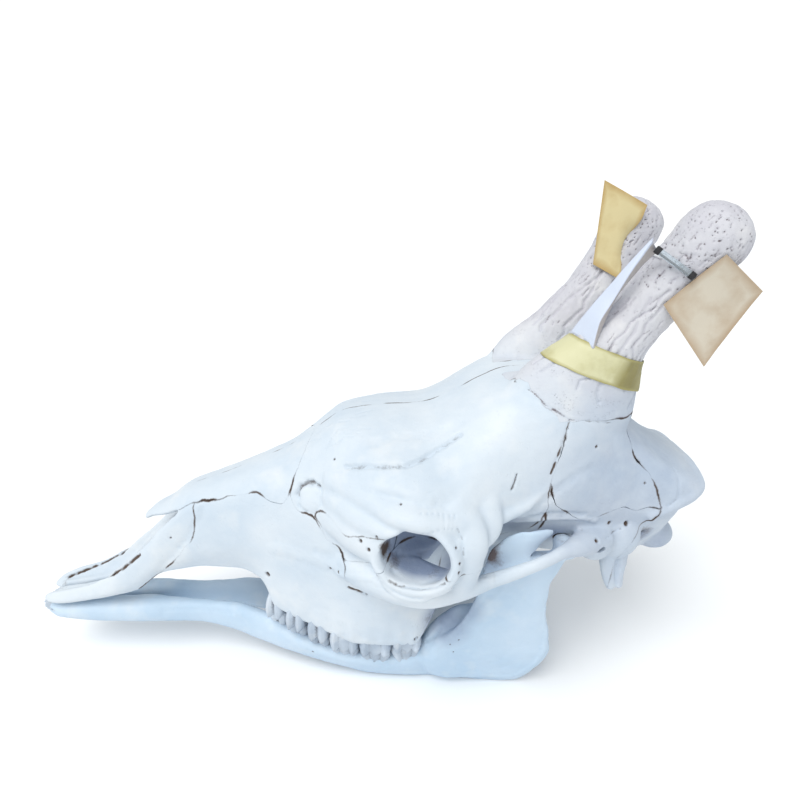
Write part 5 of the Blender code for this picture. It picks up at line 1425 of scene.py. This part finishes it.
def paperSlip():
    rows = np.array(slip["rows"], float)
    s = np.linspace(0, 1, len(rows))
    t = np.linspace(0, 1, slip["up"])
    lines = np.array([[smoothLine(list(zip(s, rows[:, j, c])))(t) for c in range(3)]
                      for j in range(rows.shape[1])])  # column, axis, step
    grid = []
    for i in range(slip["up"]):
        left, fold, back = lines[:, :, i]
        line = []
        for u in np.linspace(0, 1, slip["across"]):
            if u < slip["foldAt"]:
                w = u / slip["foldAt"]
                bulge = np.array([-0.4, -1.0, 0.1]) * math.sin(math.pi * w) * slip["bulge"]
                line.append(left * (1 - w) + fold * w + bulge)
            else:
                w = (u - slip["foldAt"]) / (1 - slip["foldAt"])
                line.append(fold * (1 - w) + back * w)
        line = np.array(line)
        for _ in range(2):  # softens the fold
            line[1:-1] = 0.5 * line[1:-1] + 0.25 * (line[:-2] + line[2:])
        grid.append(line)
    grid = np.array(grid)
    flat = grid.reshape(-1, 3)
    flat[:, 1] += slip["ripple"] * softNoise(flat, 9, 91)
    return gridSheet("paperSlip", grid, slip["thick"])


def paperTag(name, spec):
    a, b, c, d = (np.array(p, float) for p in spec["corners"])
    normal = unit(np.cross(b - a, d - a))
    n = spec["steps"]
    grid = []
    for v in np.linspace(0, 1, n):
        line = []
        for u in np.linspace(0, 1, n):
            flat = (a * (1 - u) + b * u) * (1 - v) + (d * (1 - u) + c * u) * v
            lift = spec["bow"] * math.sin(math.pi * u)
            if "curl" in spec:  # its right edge is drawn in and rolls back
                roll = max(0.0, (u - 0.55) / 0.45) ** 2 * math.sin(math.pi * min(1, v * 1.15)) ** 2
                flat = flat + unit(a - b) * spec["pull"] * roll
                lift -= spec["curl"] * roll
            line.append(flat + normal * lift)
        grid.append(line)
    grid = np.array(grid)
    flat = grid.reshape(-1, 3)
    flat += normal * (spec["ripple"] * softNoise(flat, 12, 95))[:, None]
    return gridSheet(name, flat.reshape(grid.shape), spec["thick"])


def roundRod(name, route, radii, sides):
    route = np.array(route, float)
    count = len(route)
    angles = np.linspace(0, 2 * math.pi, sides, endpoint=False)
    rings = []
    up = np.array([0.0, 0.0, 1.0])
    for i, here in enumerate(route):
        ahead = unit(route[min(i + 1, count - 1)] - route[max(i - 1, 0)])
        up = unit(up - ahead * (up @ ahead))
        side = np.cross(ahead, up)
        size = radii[i] if isinstance(radii, list) else radii
        rings.append([here + up * math.cos(a) * size + side * math.sin(a) * size for a in angles])
    return loft(name, rings)


def glassTube():
    front, back = np.array(tube["front"], float), np.array(tube["back"], float)
    run = unit(back - front)
    route = [front * (1 - t) + back * t for t in np.linspace(0, 1, 24)]
    glass = roundRod("glassTube", route, tube["radius"], sides=32)
    glass.data.shade_smooth()
    low = np.array(tube["cordLow"])
    blacks = [roundRod("tubeCord", [p + low for p in route], tube["cord"], sides=12)]
    for end, way in ((front, 1), (back, -1)):
        spots = [end + run * way * along for along, _ in tube["cap"]]
        sizes = [tube["capRadius"] * share for _, share in tube["cap"]]
        blacks.append(roundRod("cap", spots, sizes, sides=18))
    return glass, joined("tubeBlack", blacks)


def threadRing(skin):  # two twisted strands round the back of the horn, between the tube's ends
    ring = ringSpots(skin, thread["at"], thread["slope"], 0.0, thread["around"], 1)[0]
    spots = np.array([spot + way * thread["off"] for spot, way in ring])
    for _ in range(6):
        spots = 0.5 * spots + 0.25 * (np.roll(spots, 1, axis=0) + np.roll(spots, -1, axis=0))
    count = len(spots)
    first, last = (int(a / 360 * count) for a in thread["arc"])
    rise = tilted(thread["slope"])[1]
    turning = thread["radius"] * thread["close"]
    strands = []
    for k in range(thread["strands"]):
        route = []
        for i in range(first, last):
            a = 2 * math.pi * (thread["twist"] * i / count + k / thread["strands"])
            route.append(spots[i % count] + rise * math.sin(a) * turning
                         + ring[i % count][1] * (thread["lift"] + math.cos(a) * turning))
        strands.append(roundRod("strand", route, thread["radius"], sides=8))
    whole = joined("threadRing", strands)
    whole.data.shade_smooth()
    return whole


# Materials

def groupWith(name, inputs, outputs):
    tree = bpy.data.node_groups.new(name, "ShaderNodeTree")
    for label, kind, value in inputs:
        socket_ = tree.interface.new_socket(label, in_out="INPUT", socket_type=kind)
        socket_.default_value = value
    for label, kind in outputs:
        tree.interface.new_socket(label, in_out="OUTPUT", socket_type=kind)
    return tree, tree.nodes.new("NodeGroupInput"), tree.nodes.new("NodeGroupOutput")


def noiseNode(tree, vector, scale, detail=4.0, rough=0.55):
    node = tree.nodes.new("ShaderNodeTexNoise")
    node.inputs["Scale"].default_value = scale
    node.inputs["Detail"].default_value = detail
    node.inputs["Roughness"].default_value = rough
    tree.links.new(vector, node.inputs["Vector"])
    return node.outputs["Fac"]


def mathNode(tree, operation, *values):
    node = tree.nodes.new("ShaderNodeMath")
    node.operation = operation
    for socket_, value in zip(node.inputs, values):
        if isinstance(value, (int, float)):
            socket_.default_value = value
        else:
            tree.links.new(value, socket_)
    return node.outputs[0]


def times(tree, first, second):
    return mathNode(tree, "MULTIPLY", first, second)


def plus(tree, first, second):
    return mathNode(tree, "ADD", first, second)


def minus(tree, first, second):
    return mathNode(tree, "SUBTRACT", first, second)


def rangeNode(tree, value, *limits):  # from low to high, and what they turn into if not 0 to 1
    node = tree.nodes.new("ShaderNodeMapRange")
    tree.links.new(value, node.inputs["Value"])
    for label, number in zip(("From Min", "From Max", "To Min", "To Max"), limits):
        node.inputs[label].default_value = number
    return node.outputs[0]


def mixColour(tree, factor, first, second):
    node = tree.nodes.new("ShaderNodeMix")
    node.data_type = "RGBA"
    for index, value in ((0, factor), (6, first), (7, second)):
        if isinstance(value, tuple):
            node.inputs[index].default_value = value
        else:
            tree.links.new(value, node.inputs[index])
    return node.outputs[2]


def boneGroup():  # mottled, stained bone with painted shade in its hollows and dim places: colour, roughness and fine height
    tree, start, end = groupWith("agedBone", [
        ("Clean", "NodeSocketColor", (0.8, 0.83, 0.87, 1)),
        ("Shade", "NodeSocketColor", (0.6, 0.68, 0.78, 1)),
        ("Earth", "NodeSocketColor", (0.16, 0.10, 0.06, 1)),
        ("Gloomy", "NodeSocketColor", (0.23, 0.29, 0.42, 1)),
        ("Stainshade", "NodeSocketFloat", 0.0), ("Hollow", "NodeSocketFloat", 0.0),
        ("Gloom", "NodeSocketFloat", 0.0),
        ("Grain size", "NodeSocketFloat", 1.0), ("Pore depth", "NodeSocketFloat", 1.0)],
        [("Color", "NodeSocketColor"), ("Roughness", "NodeSocketFloat"),
         ("Height", "NodeSocketFloat")])
    links, given = tree.links, start.outputs

    scaled = tree.nodes.new("ShaderNodeVectorMath")
    scaled.operation = "SCALE"
    links.new(tree.nodes.new("ShaderNodeTexCoord").outputs["Object"], scaled.inputs[0])
    links.new(given["Grain size"], scaled.inputs["Scale"])
    spot = scaled.outputs[0]
    broad = noiseNode(tree, spot, 14.0, 5.0)
    middle = noiseNode(tree, spot, 70.0, 5.0, 0.6)
    fine = noiseNode(tree, spot, 420.0, 4.0, 0.65)
    fibre = tree.nodes.new("ShaderNodeMapping")
    fibre.inputs["Scale"].default_value = (0.22, 1.0, 1.0)
    links.new(spot, fibre.inputs["Vector"])
    strands = noiseNode(tree, fibre.outputs[0], 520.0, 3.0, 0.6)
    cells = tree.nodes.new("ShaderNodeTexVoronoi")
    cells.inputs["Scale"].default_value = 330.0
    links.new(spot, cells.inputs["Vector"])
    sparse = minus(tree, 1.0, rangeNode(tree, middle, 0.50, 0.62))
    holes = rangeNode(tree, cells.outputs["Distance"], 0.10, 0.30)
    pores = mathNode(tree, "MAXIMUM", holes, sparse)

    colour = mixColour(tree, rangeNode(tree, broad, 0.35, 0.68), given["Clean"], given["Shade"])
    warm = rangeNode(tree, noiseNode(tree, spot, 26.0, 3.0), 0.55, 0.78, 0.0, 0.35)
    speck = times(tree, rangeNode(tree, fine, 0.66, 0.78), 0.22)
    # painted shade: in the Shade colour in the mesh's hollows, and grey-blue where the light hardly
    # reaches
    deep = times(tree, rangeNode(tree, given["Hollow"], 0.03, 0.45), 0.55)
    dim = times(tree, given["Gloom"], rangeNode(tree, middle, 0.2, 0.6, 0.6, 0.92))
    # soiling, dark seams and painted shade, with ragged edges
    ragged = plus(tree, given["Stainshade"], times(tree, minus(tree, fine, 0.5), 0.7))
    dirtAndShadeShare = rangeNode(tree, ragged, 0.30, 0.85)
    for share, over in ((warm, (0.86, 0.84, 0.80, 1.0)), (speck, (0.45, 0.42, 0.42, 1.0)),
                        (deep, given["Shade"]), (dim, given["Gloomy"]), (dirtAndShadeShare, given["Earth"])):
        colour = mixColour(tree, share, colour, over)
    links.new(colour, end.inputs["Color"])

    rough = plus(tree, rangeNode(tree, middle, 0.3, 0.7, 0.52, 0.72), times(tree, dirtAndShadeShare, 0.2))
    links.new(rough, end.inputs["Roughness"])
    height = times(tree, middle, 0.5)
    for part in (times(tree, fine, 0.35), times(tree, strands, 0.35),
                 times(tree, minus(tree, pores, 1.0), given["Pore depth"])):
        height = plus(tree, height, part)
    links.new(height, end.inputs["Height"])
    return tree


def paperGroup():  # fibrous paper, browner towards its edges, with painted shade past a point across it
    tree, start, end = groupWith("agedPaper", [
        ("Sheet", "NodeSocketColor", (0.8, 0.75, 0.6, 1)),
        ("Edge", "NodeSocketColor", (0.6, 0.45, 0.25, 1)),
        ("Far side", "NodeSocketColor", (0.5, 0.45, 0.4, 1)),
        ("Far from", "NodeSocketFloat", 2.0),
        ("Edge width", "NodeSocketFloat", 0.08), ("Blotches", "NodeSocketFloat", 0.3)],
        [("Color", "NodeSocketColor"), ("Height", "NodeSocketFloat")])
    links, given = tree.links, start.outputs
    where = tree.nodes.new("ShaderNodeTexCoord").outputs["Object"]
    uv = tree.nodes.new("ShaderNodeUVMap")
    uv.uv_map = "sheetMap"
    parts = tree.nodes.new("ShaderNodeSeparateXYZ")
    links.new(uv.outputs[0], parts.inputs[0])
    off = [mathNode(tree, "ABSOLUTE", minus(tree, parts.outputs[k], 0.5)) for k in (0, 1)]
    across, along = (minus(tree, 0.5, value) for value in off)  # how far in from the edges
    wander = times(tree, minus(tree, noiseNode(tree, where, 60.0), 0.5), 0.12)
    ragged = plus(tree, mathNode(tree, "MINIMUM", across, along), wander)
    rim = rangeNode(tree, mathNode(tree, "DIVIDE", ragged, given["Edge width"]), 1.0, 0.0)
    cloudy = rangeNode(tree, noiseNode(tree, where, 38.0, 5.0), 0.45, 0.7)
    tan = mathNode(tree, "MAXIMUM", rim, times(tree, cloudy, given["Blotches"]))
    # past a point across the sheet its colour is painted shade
    past = rangeNode(tree, minus(tree, parts.outputs[0], given["Far from"]), -0.02, 0.03)
    colour = mixColour(tree, tan, mixColour(tree, past, given["Sheet"], given["Far side"]),
                       given["Edge"])
    fibre = noiseNode(tree, where, 900.0, 4.0, 0.7)
    fleck = times(tree, rangeNode(tree, fibre, 0.62, 0.75), 0.18)
    links.new(mixColour(tree, fleck, colour, (0.5, 0.42, 0.3, 1.0)), end.inputs["Color"])
    height = plus(tree, times(tree, fibre, 0.5), times(tree, noiseNode(tree, where, 130.0), 0.9))
    links.new(height, end.inputs["Height"])
    return tree


def newMaterial(name, rough, colour=None, **values):
    material = bpy.data.materials.new(name)
    material.use_nodes = True
    shader = material.node_tree.nodes["Principled BSDF"]
    shader.inputs["Roughness"].default_value = rough
    if colour:
        shader.inputs["Base Color"].default_value = (*colour, 1.0)
    for label, value in values.items():
        shader.inputs[label.replace("_", " ")].default_value = value
    return material, material.node_tree, shader


def groupNode(tree, group, **values):
    node = tree.nodes.new("ShaderNodeGroup")
    node.node_tree = group
    for label, value in values.items():
        node.inputs[label.replace("_", " ")].default_value = \
            (*value, 1.0) if isinstance(value, tuple) else value
    return node


def bumpInto(tree, shader, height, strength, distance):
    bump = tree.nodes.new("ShaderNodeBump")
    bump.inputs["Strength"].default_value = strength
    bump.inputs["Distance"].default_value = distance
    tree.links.new(height, bump.inputs["Height"])
    tree.links.new(bump.outputs[0], shader.inputs["Normal"])


def boneMaterial(name, group, clean, shade, earthAndShade, grain=1.0, pore=1.0, bump=0.35, foot=None):
    material, tree, shader = newMaterial(name, 0.6)
    node = groupNode(tree, group, Clean=clean, Shade=shade, Earth=earthAndShade, Grain_size=grain,
                     Pore_depth=pore)
    if foot:  # the colours it has low down, and the heights between which they change
        parts = tree.nodes.new("ShaderNodeSeparateXYZ")
        where = tree.nodes.new("ShaderNodeTexCoord").outputs["Object"]
        tree.links.new(where, parts.inputs[0])
        patch = times(tree, noiseNode(tree, where, 40.0), 0.05)
        level = minus(tree, plus(tree, parts.outputs[2], patch), 0.025)
        change = rangeNode(tree, level, *foot["heights"])
        for label, low, high in (("Clean", foot["clean"], clean), ("Shade", foot["shade"], shade)):
            tree.links.new(mixColour(tree, change, (*low, 1.0), (*high, 1.0)), node.inputs[label])
    for label in ("stainshade", "hollow", "gloom"):
        reader = tree.nodes.new("ShaderNodeAttribute")
        reader.attribute_name = label
        tree.links.new(reader.outputs["Fac"], node.inputs[label.capitalize()])
    tree.links.new(node.outputs["Color"], shader.inputs["Base Color"])
    tree.links.new(node.outputs["Roughness"], shader.inputs["Roughness"])
    bumpInto(tree, shader, node.outputs["Height"], bump, 0.0006)
    return material


def paperMaterial(name, group, sheet, edge, width, blotches, rough=0.8, shadedSide=None, farFrom=2.0):
    material, tree, shader = newMaterial(name, rough)
    node = groupNode(tree, group, Sheet=sheet, Edge=edge, Edge_width=width, Blotches=blotches,
                     Far_side=shadedSide or sheet, Far_from=farFrom)
    tree.links.new(node.outputs["Color"], shader.inputs["Base Color"])
    bumpInto(tree, shader, node.outputs["Height"], 0.3, 0.0004)
    return material


def dress(thing, material, slot, *nodes):
    thing.data.materials.clear()
    thing.data.materials.append(material)
    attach(thing, "root")
    if nodes:
        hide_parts(*nodes)


# Making it all

cranium = craniumRelief(craniumBody())
print("cranium skin,", len(cranium.data.vertices), "points")
bones = craniumBones(cranium)
print("parted into", len(bones), "bones")
jaws = {"mandible" + end: jawHalf(side) for side, end in ends}
for side, end in ends:
    cutAway(bones["temporal" + end], [knobHollow(side)])
    largestShell(bones["temporal" + end])
print("lower jaw made")

boneLooks = dict(
    whiteBone=dict(clean=(0.66, 0.71, 0.755), shade=(0.54, 0.62, 0.70),
                   earthAndShade=(0.085, 0.058, 0.045)),
    greyHorn=dict(clean=(0.61, 0.61, 0.64), shade=(0.50, 0.49, 0.54), earthAndShade=(0.15, 0.12, 0.13),
                  grain=1.3, pore=1.6, bump=0.6,
                  foot=dict(clean=(0.65, 0.69, 0.73), shade=(0.54, 0.60, 0.68),
                            heights=(0.285, 0.345))),
    # the lower jaw's bone is bluer and darker than the skull's, partly with painted shade
    blueBone=dict(clean=(0.57, 0.68, 0.79), shade=(0.46, 0.60, 0.74), earthAndShade=(0.15, 0.12, 0.12)),
    toothEnamel=dict(clean=(0.56, 0.63, 0.71), shade=(0.34, 0.41, 0.50), earthAndShade=(0.11, 0.12, 0.15),
                     grain=2.2, pore=0.5, bump=0.4))
agedBone, agedPaper = boneGroup(), paperGroup()
looks = {name: boneMaterial(name, agedBone, **spec) for name, spec in boneLooks.items()}


def nodeName(name):
    for _, end in ends:
        if name.endswith(end):
            return name[:-len(end)] + "_" + end.lower()
    return name


low, high = (np.array(corner) for corner in solidBox)
for name, thing in {**bones, **jaws}.items():
    flatPlaces = np.empty(len(thing.data.vertices) * 3, np.float32)
    thing.data.vertices.foreach_get("co", flatPlaces)
    inside = np.clip(flatPlaces.reshape(-1, 3), low, high)  # never past the solids' box
    thing.data.vertices.foreach_set("co", inside.astype(np.float32).ravel())
    thing.data.update()
    ageBone(thing, name in jaws)
    look, slotName = ("greyHorn", "horn") if name.startswith("horn") else \
        ("blueBone", "jaw") if name in jaws else ("whiteBone", "bone")
    thing.name = name + "Bone"
    dress(thing, looks[look], slotName, nodeName(name))
    print(name, len(thing.data.polygons), "faces")

tree, enamel = toothTree(), looks["toothEnamel"]
cheekShapes = (toothShape("narrowTooth", 2), toothShape("wideTooth", 3))
frontTooth = incisorShape("frontTooth")
for side, end in ends:
    for upper in (True, False):
        dress(cheekRow(side, end, upper, tree, cheekShapes, enamel), enamel,
              "bone" if upper else "jaw")
    dress(frontRow(side, end, tree, (frontTooth, frontTooth), enamel), enamel, "jaw")
for shape in (*cheekShapes, frontTooth):
    bpy.data.objects.remove(shape)
print("teeth set")

# the darker colour past farFrom is painted shade: on the end of the tape, and on the slip's back
# panel
paperLooks = dict(
    paperTape=dict(sheet=(0.62, 0.60, 0.37), edge=(0.36, 0.32, 0.11), width=0.12, blotches=0.6,
                   rough=0.5, shadedSide=(0.24, 0.21, 0.07), farFrom=0.79),
    bluePaper=dict(sheet=(0.62, 0.68, 0.80), edge=(0.46, 0.48, 0.56), width=0.03, blotches=0.15,
                   shadedSide=(0.44, 0.41, 0.40), farFrom=0.62),
    beigeCard=dict(sheet=(0.60, 0.54, 0.44), edge=(0.44, 0.33, 0.22), width=0.14, blotches=0.7),
    yellowCard=dict(sheet=(0.68, 0.58, 0.32), edge=(0.50, 0.35, 0.14), width=0.12, blotches=0.5))
hornTree = BVHTree.FromObject(bones["hornLeft"], bpy.context.evaluated_depsgraph_get())
for thing, look, slotName, node in (
        (tapeBand(hornTree), "paperTape", "tape", "paper_band"),
        (paperSlip(), "bluePaper", "blue_paper", "paper_slip"),
        (paperTag("beigeTag", beigeTag), "beigeCard", "beige_card", "tag_beige"),
        (paperTag("yellowTag", yellowTag), "yellowCard", "yellow_card", "tag_yellow")):
    dress(thing, paperMaterial(look, agedPaper, **paperLooks[look]), slotName, node)
glass, black = glassTube()
dress(glass, newMaterial("paleGlass", 0.08, (0.82, 0.91, 0.97), Transmission_Weight=0.75,
                         IOR=1.45)[0], "tube", "tie")
dress(black, newMaterial("blackRubber", 0.45, (0.012, 0.012, 0.014))[0], "tube")
dress(threadRing(hornTree), newMaterial("paleThread", 0.8, (0.72, 0.72, 0.74))[0], "tube")
print("tape, tags and tube made")


# Floor, light and camera

studio = dict(at=(-0.8, -1.0, 1.9), toward=(0, 0, 0), strength=2.0, angle=38,
              colour=(1.0, 0.99, 0.97), floorHalf=6.0, floor=(0.93, 0.94, 0.95),
              air=(0.93, 0.97, 1.0, 1.0), airStrength=0.72,
              behind=(1.0, 1.0, 1.0, 1.0), behindStrength=1.1)
half = studio["floorHalf"]
floorMesh = bpy.data.meshes.new("floor")
floorMesh.from_pydata([(-half, -half, 0), (half, -half, 0), (half, half, 0), (-half, half, 0)],
                      [], [(0, 1, 2, 3)])
floorMesh.materials.append(newMaterial("paleFloor", 0.9, studio["floor"])[0])
objectOf("floor", floorMesh)

world = bpy.data.worlds.new("studio")
bpy.context.scene.world = world
world.use_nodes = True
backdrop = world.node_tree
air, white = backdrop.nodes["Background"], backdrop.nodes.new("ShaderNodeBackground")
for node, name in ((air, "air"), (white, "behind")):
    node.inputs["Color"].default_value = studio[name]
    node.inputs["Strength"].default_value = studio[name + "Strength"]
seen = backdrop.nodes.new("ShaderNodeLightPath")
pick = backdrop.nodes.new("ShaderNodeMixShader")
backdrop.links.new(seen.outputs["Is Camera Ray"], pick.inputs[0])
backdrop.links.new(air.outputs[0], pick.inputs[1])
backdrop.links.new(white.outputs[0], pick.inputs[2])
backdrop.links.new(pick.outputs[0], backdrop.nodes["World Output"].inputs["Surface"])
bpy.context.scene.view_settings.view_transform = "Standard"

lamp = bpy.data.lights.new("key", "SUN")
lamp.energy = studio["strength"]
lamp.angle = math.radians(studio["angle"])
lamp.color = studio["colour"]
lampThing = objectOf("key", lamp)
lampThing.rotation_mode = "QUATERNION"
lampThing.rotation_quaternion = (Vector(studio["toward"])
                                 - Vector(studio["at"])).to_track_quat("-Z", "Y")

view = dict(azimuth=-3.051, elevation=20.970, roll=1.111, at=(0.01612, -0.47799, 0.45708),
            lens=25.155, sensor=36.0)
azimuth, elevation, roll = (math.radians(view[k]) for k in ("azimuth", "elevation", "roll"))
backWay = Vector((math.sin(azimuth) * math.cos(elevation), -math.cos(azimuth)
                  * math.cos(elevation), math.sin(elevation)))
rightWay = Vector((math.cos(azimuth), math.sin(azimuth), 0))
upWay = backWay.cross(rightWay)
right = rightWay * math.cos(roll) + upWay * math.sin(roll)
up = upWay * math.cos(roll) - rightWay * math.sin(roll)
camera = bpy.data.cameras.new("camera")
camera.sensor_width = view["sensor"]
camera.lens = view["lens"]
camera.clip_start = 0.01
cameraThing = objectOf("camera", camera)
cameraThing.matrix_world = Matrix.Translation(view["at"]) @ Matrix(
    (right, up, backWay)).transposed().to_4x4()
bpy.context.scene.camera = cameraThing
